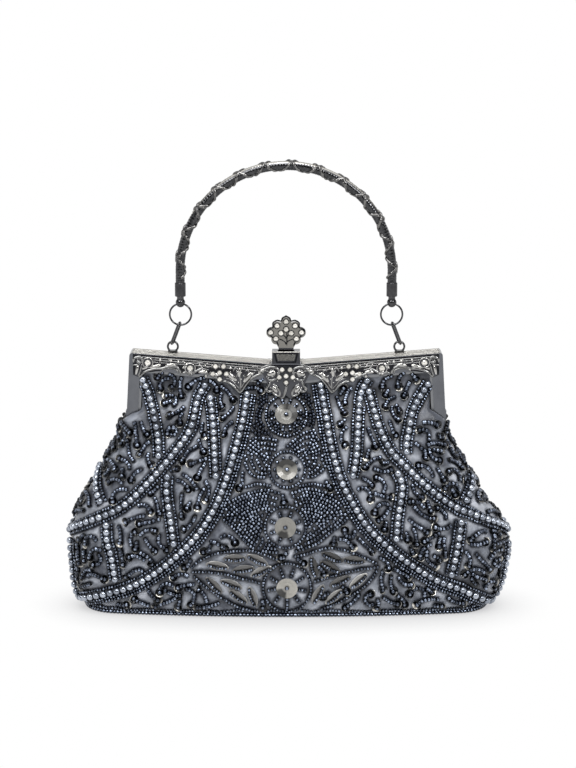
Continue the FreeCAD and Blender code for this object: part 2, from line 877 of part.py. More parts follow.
# Pouch: lofts through four-arc ovals, the walls set off from the outer one
def oval(half_width, half_depth, round_radius, height):
    """Closed wire of two flat and two tight tangent arcs at one height."""
    reach = half_width - round_radius
    flat = (reach ** 2 + half_depth ** 2 - round_radius ** 2) / (2 * (half_depth - round_radius))
    rise = flat - half_depth
    span = math.hypot(reach, rise)
    join_x = reach + round_radius * reach / span
    join_y = round_radius * rise / span
    corners = [
        Vector(-join_x, -join_y, height),
        Vector(join_x, -join_y, height),
        Vector(join_x, join_y, height),
        Vector(-join_x, join_y, height),
    ]
    peaks = [
        Vector(0, -half_depth, height),
        Vector(half_width, 0, height),
        Vector(0, half_depth, height),
        Vector(-half_width, 0, height),
    ]
    arcs = [
        Part.Arc(corners[index], peaks[index], corners[(index + 1) % 4]).toShape()
        for index in range(4)
    ]
    return Part.Wire(arcs)


def pouch_solid(inset):
    wires = []
    for up, across, deep in pouch_section_shares:
        half_depth = size["pouch_half_depth"] * deep
        wires.append(
            oval(
                size["pouch_half_width"] * across - inset,
                half_depth - inset,
                half_depth * pouch_side_round_share - inset,
                size["pouch_rim_height"] * up,
            )
        )
    return Part.makeLoft(wires, True, False)


far = size["pouch_half_width"] + size["overrun"]


def slab(low, high, front=-far, back=far):
    return block(Vector(-far, front, low), Vector(far, back, high))


def band_strip(ends):
    """Curved strip of one bead band in front view, run forward past the wall."""
    points = [
        Vector(size["pouch_half_width"] * across, 0, size["pouch_rim_height"] * up)
        for across, up in ends
    ]
    line = Part.Arc(*points).toShape().Curve
    edges = []
    for shift in (size["bead_band_half_width"], -size["bead_band_half_width"]):
        reach = (line.Radius + shift) / line.Radius
        edges.append([line.Center + (point - line.Center) * reach for point in points])
    near, wide = edges
    border = Part.Wire(
        [
            Part.Arc(*near).toShape(),
            Part.makeLine(near[2], wide[2]),
            Part.Arc(*wide[::-1]).toShape(),
            Part.makeLine(wide[0], near[0]),
        ]
    )
    return Part.Face(border).extrude(Vector(0, -far, 0))


rim = size["pouch_rim_height"]
outer = pouch_solid(0.0)
inner = pouch_solid(size["pouch_wall"])
walls = outer.cut(inner)
base_top = size["base_sheet"]
# The raised bands start inside the wall, so that they are one solid with it
band_room = pouch_solid(-size["bead_band_rise"]).cut(pouch_solid(size["pouch_wall"] / 2))
right_bands = [band_room.common(band_strip(ends)) for ends in bead_band_shares]
left_bands = [mirrored_x(band) for band in right_bands]
front_wall = merged([walls.common(slab(base_top, rim, back=0.0)), *right_bands, *left_bands])
put("pouch_front", front_wall)
put("pouch_rear", mirrored_y(front_wall))
put("base_panel", outer.common(slab(0.0, base_top)))
board_foot = base_top + size["lay_gap"]
board_top = board_foot + size["board_sheet"]
first_section = pouch_section_shares[0]
board_side = size["pouch_half_width"] * first_section[1] - size["board_margin"]
board_front = size["pouch_half_depth"] * first_section[2] - size["board_margin"]
board_wire = oval(board_side, board_front, board_front * pouch_side_round_share, board_foot)
put("base_board", Part.Face(board_wire).extrude(Vector(0, 0, size["board_sheet"])))

lining_inset = size["pouch_wall"] + size["lay_gap"]
lining_foot = board_top + size["lay_gap"]
lining_top = rim - size["lining_rim_drop"]
lining_out = pouch_solid(lining_inset).common(slab(lining_foot, lining_top))
lining_core = pouch_solid(lining_inset + size["lining_sheet"])
lining_hollow = lining_core.common(slab(lining_foot + size["lining_sheet"], rim))
put("lining", lining_out.cut(lining_hollow))
pocket_inset = lining_inset + size["lining_sheet"] + size["lay_gap"]
pocket_wall = pouch_solid(pocket_inset).cut(pouch_solid(pocket_inset + size["pocket_sheet"]))
pocket_top = size["pocket_foot"] + size["pocket_height"]
pocket_room = block(
    Vector(-size["pocket_half_width"], 0, size["pocket_foot"]),
    Vector(size["pocket_half_width"], far, pocket_top),
)
put("inner_pocket", pocket_wall.common(pocket_room))

# Upper panels: cloth between the arms, the front one inside its swing
panel_foot = size["upper_panel_foot"]
bar_low = min(size["frame_mid_height"], size["frame_end_height"])
panel_top = bar_low - size["frame_sheet"] - size["upper_panel_top_gap"]
strip_low = bar_low - size["flange_drop"] - size["strip_ledge"]
panel_flat = strip_low - size["upper_panel_flat_gap"]
panel_rise = panel_flat - panel_foot
strip_back = size["frame_half_depth"] - size["frame_sheet"] - size["strip_sheet"]
panel_side = strip_back - size["upper_panel_gap"]


def panel_section(height, bulge):
    """Thin bow between the ledges of the clamp strip at one height."""
    ledge = size["arm_flange"] + size["strip_ledge"] + size["upper_panel_gap"]
    half = worth(arm_side(str(height))) - ledge
    left = Vector(-half, -panel_side, height)
    right = Vector(half, -panel_side, height)
    crown = Vector(0, -bulge, height)
    back = Vector(0, size["upper_panel_sheet"], 0)
    return Part.Wire(
        [
            Part.Arc(left, crown, right).toShape(),
            Part.makeLine(right, right + back),
            Part.Arc(right + back, crown + back, left + back).toShape(),
            Part.makeLine(left + back, left),
        ]
    )


def upper_panel(bulge_shares, depth):
    flat = panel_side + size["upper_panel_gap"] / 2
    wires = [
        panel_section(panel_foot + up * panel_rise, max(flat, deep * depth))
        for up, deep in bulge_shares
    ]
    wires += [panel_section(height, flat) for height in (panel_flat, panel_top)]
    return Part.makeLoft(wires, True, True)


rim_depth = size["pouch_half_depth"] * pouch_section_shares[-1][2]
rear_depth = rim_depth - lining_inset - size["lining_sheet"] - size["rear_panel_gap"]
put("front_upper_panel", upper_panel(front_bulge_shares, size["front_panel_swing"]))
put("rear_upper_panel", mirrored_y(upper_panel(rear_bulge_shares, rear_depth)))

# Bottom piping: a beaded cord round the base seam, beside the wall's foot
def wall_outline(height):
    """Half width and half depth of the pouch at one height."""
    room = Part.Wire(outer.slice(Vector(0, 0, 1), height)[0].Edges).BoundBox
    return room.XMax, room.YMax


def beside(inner_place, outer_place):
    """Middle of the cord beside a wall that leans out by the two places."""
    lean = (outer_place - inner_place) / size["piping_radius"]
    distance = size["piping_radius"] + size["piping_clearance"]
    return inner_place + distance * math.hypot(1, lean)


mid_side, mid_front = wall_outline(size["piping_radius"])
top_side, top_front = wall_outline(2 * size["piping_radius"])
piping_side = beside(mid_side, top_side)
piping_front = beside(mid_front, top_front)
piping_round = mid_front * pouch_side_round_share + piping_front - mid_front
piping_path = oval(piping_side, piping_front, piping_round, size["piping_radius"])
first_edge = piping_path.Edges[0]
piping_start = first_edge.valueAt(first_edge.FirstParameter)
piping_way = first_edge.tangentAt(first_edge.FirstParameter)
piping_profile = Part.Wire(Part.makeCircle(size["piping_radius"], piping_start, piping_way))
put("bottom_piping", piping_path.makePipeShell([piping_profile], True, False))

# Check every piece, then write one file for each
doc.recompute()
pieces = [
    thing
    for thing in doc.Objects
    if thing.isDerivedFrom("PartDesign::Body")
    or thing.TypeId in ("Part::Feature", "Part::Cylinder")
]
for thing in doc.Objects:
    if "Invalid" in thing.State or "Error" in thing.State:
        raise ValueError(f"{thing.Label}: {thing.State}")
for piece in pieces:
    if piece.Shape.isNull() or not piece.Shape.isValid() or piece.Shape.Volume <= 0:
        raise ValueError(f"{piece.Label}: bad shape")
    piece.Shape.exportStep(f"parts/{piece.Label}.step")
print(f"{len(pieces)} pieces written")
print(f"chain heights: eye {eye_top.z:.3f}, ring foot {ring_foot.z:.3f}, ring top {ring_top.z:.3f}")
print(f"pin: depth {-size['pin_depth']:.3f}, height {size['frame_mid_height'] + size['pin_rise']:.3f}")
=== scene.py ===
import math

import bpy
import numpy as np
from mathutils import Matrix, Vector
from mathutils.bvhtree import BVHTree
from mathutils.kdtree import KDTree


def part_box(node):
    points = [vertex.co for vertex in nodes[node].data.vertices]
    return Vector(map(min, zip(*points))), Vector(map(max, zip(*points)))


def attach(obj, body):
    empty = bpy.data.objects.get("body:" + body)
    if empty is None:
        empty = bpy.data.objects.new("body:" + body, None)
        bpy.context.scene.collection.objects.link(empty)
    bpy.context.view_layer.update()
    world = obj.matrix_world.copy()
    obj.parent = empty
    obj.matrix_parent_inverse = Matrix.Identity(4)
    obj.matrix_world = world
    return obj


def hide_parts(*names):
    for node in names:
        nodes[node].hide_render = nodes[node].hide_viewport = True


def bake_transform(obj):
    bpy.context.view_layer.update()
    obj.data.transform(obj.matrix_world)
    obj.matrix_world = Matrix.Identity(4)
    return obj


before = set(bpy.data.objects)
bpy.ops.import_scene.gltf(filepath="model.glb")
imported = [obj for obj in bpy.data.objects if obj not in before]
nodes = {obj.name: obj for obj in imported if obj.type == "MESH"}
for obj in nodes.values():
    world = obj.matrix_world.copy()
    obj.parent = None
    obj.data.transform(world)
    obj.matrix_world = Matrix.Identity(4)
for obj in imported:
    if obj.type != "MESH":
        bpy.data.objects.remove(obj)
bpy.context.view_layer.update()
scene = bpy.context.scene
scene.view_settings.view_transform = "Standard"
mm = 0.001
drawSeed = 11
chance = np.random.default_rng(drawSeed)
print("frame loaded:", len(nodes), "nodes")

# camera at the viewing height of the photograph, in mm and degrees
view = {"tilt": 11.0, "distance": 1200.0, "lens": 97.5, "sensor": 36.0, "aimX": 1.1, "aimZ": 131.5,
        "pixelsWide": 576, "pixelsHigh": 768, "mmPerPixel": 0.577, "clipEnd": 20000.0}
tilt = math.radians(view["tilt"])
eye = np.array([view["aimX"], -view["distance"] * math.cos(tilt),
                view["aimZ"] + view["distance"] * math.sin(tilt)])
camera = bpy.data.objects.new("camera", bpy.data.cameras.new("camera"))
camera.data.sensor_fit = "VERTICAL"
camera.data.sensor_height = view["sensor"]
camera.data.lens = view["lens"]
camera.data.clip_end = view["clipEnd"] * mm
camera.location = eye * mm
camera.rotation_euler = (math.pi / 2 - tilt, 0, 0)
scene.collection.objects.link(camera)
scene.camera = camera


def pixelRay(pixel):
    share = view["sensor"] / view["lens"] / view["pixelsHigh"]
    right = (pixel[0] - view["pixelsWide"] / 2) * share
    up = (view["pixelsHigh"] / 2 - pixel[1]) * share
    return np.array([right, math.cos(tilt) + up * math.sin(tilt),
                     up * math.cos(tilt) - math.sin(tilt)])


def onPlane(pixel, depth):
    ray = pixelRay(pixel)
    return eye + ray * ((depth - eye[1]) / ray[1])


# nodes and colours
def linear(hexText):
    parts = [int(hexText[i:i + 2], 16) / 255 for i in (1, 3, 5)]
    return tuple(c / 12.92 if c < 0.04045 else ((c + 0.055) / 1.055) ** 2.4 for c in parts) + (1.0,)


def addNode(tree, kind, settings=None, links=None):
    # a link comes from a node's first output, or from a named one given with the node
    node = tree.nodes.new("ShaderNode" + kind)
    for name, value in (settings or {}).items():
        if name == "stops":
            stops = node.color_ramp.elements
            while len(stops) < len(value):
                stops.new(0.5)
            for stop, (place, colour) in zip(stops, value):
                stop.position, stop.color = place, linear(colour)
        elif isinstance(name, int) or name in node.inputs:
            node.inputs[name].default_value = value
        else:
            setattr(node, name, value)
    for name, source in (links or {}).items():
        giver, output = source if isinstance(source, tuple) else (source, 0)
        tree.links.new(giver.outputs[output], node.inputs[name])
    return node


def newMaterial(name):
    material = bpy.data.materials.new(name)
    material.use_nodes = True
    material.node_tree.nodes.clear()
    return material, material.node_tree


def perMetre(sizeMm):
    # noise scale for features of this size
    return 1 / (sizeMm * mm)


def wavesPerMetre(pitchMm):
    # a wave texture of scale 1 repeats every 2 pi / 20 of a unit
    return 2 * math.pi / 20 / (pitchMm * mm)


def wovenCloth(name, shades, threadMm, cloudMm, sewn):
    # long floats give a soft patchy sheen; painted shade darkens the cloth near the stitches, where beads
    # shadow it
    material, tree = newMaterial(name)
    place = (addNode(tree, "TexCoord"), "Object")
    cloud = addNode(tree, "TexNoise", {"Scale": perMetre(cloudMm), "Detail": 3.0}, {"Vector": place})
    # tone carries painted shade near the stitches and under the frieze; sewn sets how dark it gets
    tone = addNode(tree, "Attribute", {"attribute_name": "tone"})
    stitchShadow = addNode(tree, "Math", {"operation": "MULTIPLY_ADD", 1: sewn, 2: -sewn}, {0: (tone, "Fac")})
    sheenAndShade = addNode(tree, "Math", {"operation": "ADD"}, {0: cloud, 1: stitchShadow})
    colour = addNode(tree, "ValToRGB", {"stops": list(zip((0.05, 0.34, 0.5, 0.66), shades))}, {"Fac": sheenAndShade})
    # real threads are about 0.12 mm, drawn coarser so that they show
    weft, warp = (addNode(tree, "TexWave", {"Scale": wavesPerMetre(threadMm), "Distortion": 0.6,
                          "Detail": 1.0, "bands_direction": way}, {"Vector": place}) for way in "ZX")
    weave = addNode(tree, "Math", {"operation": "MULTIPLY_ADD", 1: 0.4}, {0: (warp, "Fac"), 2: (weft, "Fac")})
    bump = addNode(tree, "Bump", {"Strength": 0.25, "Distance": 0.2 * threadMm * mm}, {"Height": weave})
    rough = addNode(tree, "MapRange", {"To Min": 0.3, "To Max": 0.5}, {"Value": cloud})
    shader = addNode(tree, "BsdfPrincipled",
                     {"Sheen Weight": 0.2, "Sheen Roughness": 0.4, "Specular IOR Level": 0.6},
                     {"Base Color": colour, "Roughness": rough, "Normal": bump})
    addNode(tree, "OutputMaterial", links={"Surface": shader})
    return material


def lustreCoat(name, shades, metal, rough, coat):
    # glass or film under a thin metal coat: colour follows the tone attribute, with painted shade at holes
    # and flanks and a sharp painted glint on the crown
    material, tree = newMaterial(name)
    tone = addNode(tree, "Attribute", {"attribute_name": "tone"})
    colour = addNode(tree, "ValToRGB", {"stops": list(zip((0.0, 0.5, 1.0), shades))}, {"Fac": (tone, "Fac")})
    place = (addNode(tree, "TexCoord"), "Object")
    patchMm = 1.1
    patch = addNode(tree, "TexNoise", {"Scale": perMetre(patchMm), "Detail": 1.0}, {"Vector": place})
    spread = addNode(tree, "MapRange", {"To Min": rough * 0.75, "To Max": rough * 1.3}, {"Value": patch})
    shader = addNode(tree, "BsdfPrincipled",
                     {"Metallic": metal, "IOR": 1.52, "Coat Weight": coat, "Coat Roughness": 0.1},
                     {"Base Color": colour, "Roughness": spread})
    addNode(tree, "OutputMaterial", links={"Surface": shader})
    return material


def platedMetal(name, shades, rough, grainMm, bumpMm, wear, lay=(1, 1, 1), detail=3.0):
    # zinc casting plated with black nickel: grey, brighter at worn edges, and a painted highlight where the
    # tone attribute is set
    material, tree = newMaterial(name)
    place = addNode(tree, "Mapping", {"Scale": lay}, {"Vector": (addNode(tree, "TexCoord"), "Object")})
    grain = addNode(tree, "TexNoise", {"Scale": perMetre(grainMm), "Detail": detail, "Roughness": 0.6},
                    {"Vector": place})
    edge = addNode(tree, "NewGeometry")
    edgeWearAndPaintedTop = addNode(tree, "MapRange", {"From Min": 0.5, "From Max": 0.58, "To Max": wear},
                     {"Value": (edge, "Pointiness")})
    # tone holds a painted highlight, set only on the handle
    held = addNode(tree, "Attribute", {"attribute_name": "tone"})
    paintedHighlightAndWear = addNode(tree, "Math", {"operation": "ADD"}, {0: (held, "Fac"), 1: edgeWearAndPaintedTop})
    mixed = addNode(tree, "Math", {"operation": "MULTIPLY_ADD", 1: 0.45, "use_clamp": True},
                    {0: grain, 2: paintedHighlightAndWear})
    stops = [(0.1, shades[0]), (0.75, shades[1]), (1.0, shades[-1])]
    colour = addNode(tree, "ValToRGB", {"stops": stops}, {"Fac": mixed})
    spread = addNode(tree, "MapRange", {"To Min": rough * 0.7, "To Max": rough * 1.4}, {"Value": grain})
    bump = addNode(tree, "Bump", {"Strength": 0.3, "Distance": bumpMm * mm}, {"Height": grain})
    shader = addNode(tree, "BsdfPrincipled", {"Metallic": 1.0},
                     {"Base Color": colour, "Roughness": spread, "Normal": bump})
    addNode(tree, "OutputMaterial", links={"Surface": shader})
    return material


def twistedCord(name, dark, light, pitchMm):
    # rayon cord: two plies laid together, the slanted furrows catch the light, and the colour is painted
    # darker in the furrows as shade
    material, tree = newMaterial(name)
    ply = addNode(tree, "TexWave", {"Scale": wavesPerMetre(pitchMm), "Distortion": 0.4,
                  "bands_direction": "DIAGONAL"}, {"Vector": (addNode(tree, "TexCoord"), "Object")})
    colour = addNode(tree, "ValToRGB", {"stops": [(0.2, dark), (0.9, light)]}, {"Fac": (ply, "Fac")})
    bump = addNode(tree, "Bump", {"Strength": 0.6, "Distance": 0.2 * pitchMm * mm}, {"Height": (ply, "Fac")})
    shader = addNode(tree, "BsdfPrincipled", {"Roughness": 0.55, "Sheen Weight": 0.2},
                     {"Base Color": colour, "Normal": bump})
    addNode(tree, "OutputMaterial", links={"Surface": shader})
    return material


# cloth and board: shades from the darkest, painted at the stitches, to light, thread and cloud size in mm,
# how much painted shade near stitches darkens it
woven = {
    # polyester satin: soft sheen in patches, painted shade where beads are sewn on it
    "satinSlateWoven": (("#1a1c22", "#4b4f59", "#838892", "#b9bdc6"), 0.55, 13.0, 0.5),
    # polyester taffeta: flat dark grey with hardly any sheen
    "liningTaffetaWoven": (("#2c2e35", "#3c3e46", "#4b4d56", "#5a5c66"), 0.7, 18.0, 0.0),
    # grey fibreboard: even and dull
    "baseBoardPressedFibre": (("#4a4945", "#54534f", "#5f5e59", "#6b6a65"), 1.5, 20.0, 0.0),
}
# beads and sequins: shades from painted shade at the hole to painted highlight on the crown, metallic,
# roughness, coat
coated = {
    # glass with a metal lustre: blue-black with one small painted glint
    "seedBeadLustreGlass": (("#030508", "#1a2436", "#bdcae1"), 0.75, 0.17, 0.45),
    # pearl lacquer on a moulded bead: pale round painted sheen, with painted shade down the flanks
    "pearlLacquerMoulded": (("#0d1016", "#646b78", "#bcc3cf"), 0.8, 0.12, 0.9),
    # film on foil: a broad painted flash beside a painted dark sector
    "sequinFoilPressed": (("#191919", "#71706c", "#a5a29b"), 0.25, 0.34, 0.3),
    # clear film: milky, with a painted highlight at the rim and painted shadow under its beads
    "sequinPaleFilmPressed": (("#08080a", "#6b6a69", "#c4c3c0"), 0.2, 0.22, 0.5),
    # smoked film: black with a painted bright rim
    "sequinSmokePressed": (("#07080a", "#2b2d31", "#e6e2d8"), 0.8, 0.16, 0.5),
    # cut glass on foil: facets flash white, with painted shade on every second facet
    "crystalFoilBackedCut": (("#75736e", "#c4c1b9", "#fbf8f1"), 0.5, 0.06, 0.6),
}
# metal: dark, bright and painted-highlight shade, roughness, grain and its depth in mm, wear of edges
# the long flats of the bar keep the lines of the belt that ground them, along X
plated = {
    "blackNickelPolished": (("#494b50", "#73757a"), 0.18, 6.0, 0.004, 0.4),  # frame: even grey mirror
    "blackNickelRubbed": (("#b3b1ac", "#dedbd5"), 0.22, 8.0, 0.002, 0.3),  # lip: painted highlight, pale along the top
    "blackNickelEmbossed": (("#747576", "#d3d1cd"), 0.14, 2.0, 0.004, 0.6),  # relief: bright tops
    "blackNickelSatin": (("#6a6966", "#918f8a"), 0.26, 5.0, 0.004, 0.4),  # fan: soft mid grey
    "blackNickelOxidised": (("#17181a", "#46474b"), 0.16, 1.0, 0.02, 0.5),  # clasp: near black
    "blackNickelStamped": (("#17181b", "#515256"), 0.15, 2.5, 0.01, 0.7),  # frieze: dark antiqued ground, also painted shade in place of the openwork
    "blackNickelTurned": (("#28282a", "#6d6d6f"), 0.1, 3.0, 0.002, 0.4),  # ferrules: sharp dark mirror
    "blackNickelGround": (("#d2cfc8", "#fdfaf4"), 0.3, 3.0, 0.0, 0.0, (0.01, 1, 0), 0.5),  # bar top: painted highlight, pale with streaks
    "blackNickelScaled": (("#252628", "#88888a", "#cfccc5"), 0.17, 1.4, 0.006, 0.3),  # grip: scales, with a painted highlight along the top of the arch
    "blackNickelChased": (("#3f3f42", "#d2d0cb"), 0.1, 2.0, 0.004, 0.7),  # vine: bright edges
    "blackNickelWireDrawn": (("#37383b", "#828283"), 0.12, 2.5, 0.004, 0.3),  # links: smooth mid grey
    "springSteelRolled": (("#6c6d70", "#97999c"), 0.3, 1.5, 0.01, 0.3),  # strips: plain light grey
}
finish = {}
for make, table in ((wovenCloth, woven), (lustreCoat, coated), (platedMetal, plated)):
    for name, values in table.items():
        finish[name] = make(name, *values)
finish["pipingRayonTwisted"] = twistedCord("pipingRayonTwisted", "#1c2238", "#39435f", pitchMm=1.6)
print("materials made:", len(finish))


# mesh helpers, all in mm
upward = np.array([0, 0, 1.0])


def newPiece(name, verts, faces, material, smooth=True, uv=None, tone=None):
    mesh = bpy.data.meshes.new(name)
    verts = np.asarray(verts, float) * mm
    if isinstance(faces, np.ndarray):
        mesh.vertices.add(len(verts))
        mesh.vertices.foreach_set("co", verts.ravel())
        mesh.loops.add(faces.size)
        mesh.loops.foreach_set("vertex_index", faces.ravel().astype(np.int32))
        mesh.polygons.add(len(faces))
        mesh.polygons.foreach_set("loop_start", np.arange(0, faces.size, faces.shape[1], dtype=np.int32))
        mesh.update(calc_edges=True)
    else:
        mesh.from_pydata(verts.tolist(), [], faces)
    mesh.validate()
    mesh.polygons.foreach_set("use_smooth", np.full(len(mesh.polygons), smooth))
    if uv is not None:
        layer = mesh.uv_layers.new(name="OFBake")
        layer.data.foreach_set("uv", np.asarray(uv, np.float32).ravel())
    if tone is not None:
        attribute = mesh.attributes.new("tone", "FLOAT", "POINT")
        attribute.data.foreach_set("value", np.asarray(tone, np.float32))
    mesh.materials.append(finish[material])
    piece = bpy.data.objects.new(name, mesh)
    scene.collection.objects.link(piece)
    return piece


def unit(vectors):
    return vectors / np.maximum(np.linalg.norm(vectors, axis=-1, keepdims=True), 1e-9)


def squareTo(way, vectors):
    return unit(vectors - way * np.sum(vectors * way, -1, keepdims=True))


def ease(values, low, high):
    t = np.clip((values - low) / (high - low), 0, 1)
    return t * t * (3 - 2 * t)


def mirrorX(values):
    return values * np.array([-1.0, 1.0, 1.0])


def mirrorY(values):
    return values * np.array([1.0, -1.0, 1.0])


def turned(faces):
    return [face[::-1] for face in faces]


def fullTurn(count):
    return np.arange(count) * 2 * math.pi / count


def gridQuads(rows, columns, rowLoop=False, columnLoop=False, flip=False):
    # quads between the neighbours of a grid, one fewer along a way that does not close on itself
    i, j = np.meshgrid(np.arange(rows - (not rowLoop)), np.arange(columns - (not columnLoop)), indexing="ij")
    corners = ((0, 0), (1, 0), (1, 1), (0, 1)) if flip else ((0, 0), (0, 1), (1, 1), (1, 0))
    return np.stack([((i + a) % rows * columns + (j + b) % columns).ravel() for a, b in corners], -1)


def closedForm(points):
    # grid that closes both ways: points, quads and a flat layout of them
    sides, count = points.shape[:2]
    i, j = np.divmod(np.arange(sides * count), count)
    layout = np.stack([np.stack([(i + a) / sides, (j + b) / count], -1)
                       for a, b in ((0, 0), (1, 0), (1, 1), (0, 1))], 1)
    return points.reshape(-1, 3), gridQuads(sides, count, True, True, True), layout


def revolved(profile, sides):
    # closed profile of (radius, height) turned about Z
    turn = fullTurn(sides)
    ring = np.array(profile)
    return closedForm(np.stack([np.outer(np.cos(turn), ring[:, 0]), np.outer(np.sin(turn), ring[:, 0]),
                                np.tile(ring[:, 1], (sides, 1))], -1))


def closedSheet(outer, inner):
    # two grids of points with a rim between them
    rows, columns = outer.shape[:2]
    count = rows * columns
    quads = gridQuads(rows, columns)
    rim = np.concatenate([np.arange(columns), columns * np.arange(1, rows) + columns - 1,
                          (rows - 1) * columns + np.arange(columns - 2, -1, -1),
                          columns * np.arange(rows - 2, 0, -1)])
    after = np.roll(rim, -1)
    edge = np.stack([rim, rim + count, after + count, after], -1)
    return np.concatenate([outer, inner]).reshape(-1, 3), np.vstack([quads, quads[:, ::-1] + count, edge])


def scattered(name, form, places, axes, ups, scales, material, tones, smooth=True, shade=1.0):
    # one mesh of many copies: form's Z goes along axes, its X towards ups
    points, quads, layout = form
    axes = unit(axes)
    ups = squareTo(axes, ups)
    turns = np.stack([ups, np.cross(axes, ups), axes], -1)
    count = len(places)
    scales = np.broadcast_to(np.asarray(scales, float), (count, 3))
    verts = np.einsum("nij,nkj->nki", turns, points[None] * scales[:, None]) + places[:, None]
    faces = quads[None] + (np.arange(count) * len(points))[:, None, None]
    # each copy has a cell of its own in the flat layout
    cells = math.ceil(math.sqrt(count))
    margin = 0.15
    corner = np.stack([np.arange(count) % cells, np.arange(count) // cells], -1) / cells
    uv = corner[:, None, None] + (margin + (1 - 2 * margin) * layout[None]) / cells
    tone = tones[:, None] * np.broadcast_to(shade, (count, len(points)))
    return newPiece(name, verts.reshape(-1, 3), faces.reshape(-1, 4), material, smooth, uv, tone.ravel())


def evenSteps(line, step):
    runs = np.concatenate([[0], np.cumsum(np.linalg.norm(np.diff(line, axis=0), axis=1))])
    count = max(2, int(round(runs[-1] / step)) + 1)
    marks = np.linspace(0, runs[-1], count)
    return np.stack([np.interp(marks, runs, line[:, k]) for k in range(line.shape[1])], -1)


def curveThrough(points, step, between=16):
    # smooth line through given points, then even steps along it
    points = np.asarray(points, float)
    padded = np.vstack([2 * points[0] - points[1], points, 2 * points[-1] - points[-2]])
    line = []
    for i in range(len(points) - 1):
        a, b, c, d = padded[i:i + 4]
        for t in np.linspace(0, 1, between, endpoint=False):
            line.append(0.5 * (2 * b + (c - a) * t + (2 * a - 5 * b + 4 * c - d) * t * t
                               + (3 * b - a - 3 * c + d) * t ** 3))
    line.append(points[-1])
    return evenSteps(np.array(line), step)


def tube(line, radii, sides=8, flat=1.0, up=(0.0, -1.0, 0.0), loop=False):
    # tube along a line, closed at its ends; flat squeezes it towards up
    line = np.asarray(line, float)
    count = len(line)
    radii = np.broadcast_to(np.asarray(radii, float), (count,))
    way = unit(np.roll(line, -1, 0) - np.roll(line, 1, 0)) if loop else unit(np.gradient(line, axis=0))
    ups = squareTo(way, np.broadcast_to(np.asarray(up), line.shape))
    across = np.cross(way, ups)
    turn = fullTurn(sides)
    verts = (line[:, None] + radii[:, None, None] * (np.cos(turn)[None, :, None] * across[:, None]
             + flat * np.sin(turn)[None, :, None] * ups[:, None])).reshape(-1, 3)
    faces = gridQuads(count, sides, loop, True).tolist()
    if not loop:
        faces += [list(range(sides))[::-1], list(range((count - 1) * sides, count * sides))]
    return verts, faces


def joined(parts):
    verts, faces, start = [], [], 0
    for points, polygons in parts:
        verts.append(points)
        faces += [[start + i for i in polygon] for polygon in polygons]
        start += len(points)
    return np.vstack(verts), faces


def addPair(parts, verts, faces):
    # a form of the left half and its mirror on the right
    parts.append((verts, faces))
    parts.append((mirrorX(verts), turned(faces)))


# pouch: the front face as rows of half ovals, the rear one is its mirror
# each row: height, half width, crown depth, depth of the side edge
pouch = {
    "rows": [(0.0, 112.0, 25.0, 0.0), (4.1, 118.4, 27.2, 0.0), (10.3, 122.5, 28.8, 0.0),
             (20.6, 124.7, 30.2, 0.0), (42.2, 126.0, 31.0, 0.0), (60.8, 121.5, 30.0, 0.0),
             (81.4, 109.2, 26.9, 0.0), (92.2, 102.4, 24.2, 0.0), (103.0, 96.4, 21.1, 0.0),
             (105.5, 95.7, 20.2, 1.2), (108.0, 95.0, 19.2, 3.0), (110.5, 94.0, 17.9, 5.4),
             (112.5, 92.6, 16.7, 7.4), (114.5, 89.8, 15.3, 8.7), (116.3, 86.3, 14.0, 8.8),
             (117.8, 83.6, 12.8, 8.3), (119.5, 82.8, 11.5, 7.2), (122.0, 82.7, 9.8, 6.2),
             (126.0, 82.8, 7.7, 5.95), (129.0, 83.6, 6.8, 5.9), (133.0, 84.4, 6.2, 5.9),
             (142.3, 84.0, 6.1, 5.9)],
    "sideRound": 0.75, "across": 220, "up": 132, "foot": 0.3, "top": 142.0,
    "puff": 1.5, "puffReach": (1.2, 7.0), "puffDip": 0.25,
    # where foot, frame and seam hold the cloth flat
    "heldFoot": 7.0, "heldTop": (112.0, 126.0), "heldSeam": 0.02,
    "pinch": 0.35, "pinchReach": 1.4,
    # flank slump as height, reach and share of the half width
    "slump": {"right": [(36.0, 22.0, 0.026), (66.0, 13.0, -0.055), (92.0, 12.0, -0.045), (108.0, 9.0, -0.03)],
              "left": [(45.0, 30.0, -0.006), (70.0, 16.0, -0.022), (100.0, 12.0, -0.008)]},
    "foldStart": 92.0, "foldEnd": 118.0,
    # depth for a ray that passes beside the pouch, and how far a front normal may lean to the rear
    "missDepth": -4.0, "rearLean": 0.3,
}


def smoothRead(column, heights):
    # smooth curve through one column of the rows, without overshoot
    rows = np.array(pouch["rows"])
    x, y = rows[:, 0], rows[:, column]
    gaps = np.diff(x)
    slope = np.diff(y) / gaps
    before, after = slope[:-1], slope[1:]
    total = np.where(before + after == 0, 1, before + after)
    lean = np.where(before * after > 0, 2 * before * after / total, 0)
    lean = np.concatenate([slope[:1], lean, slope[-1:]])
    i = np.clip(np.searchsorted(x, heights) - 1, 0, len(gaps) - 1)
    t = (heights - x[i]) / gaps[i]
    return ((1 + 2 * t) * (1 - t) ** 2 * y[i] + t * (1 - t) ** 2 * gaps[i] * lean[i]
            + t * t * (3 - 2 * t) * y[i + 1] + t * t * (t - 1) * gaps[i] * lean[i + 1])


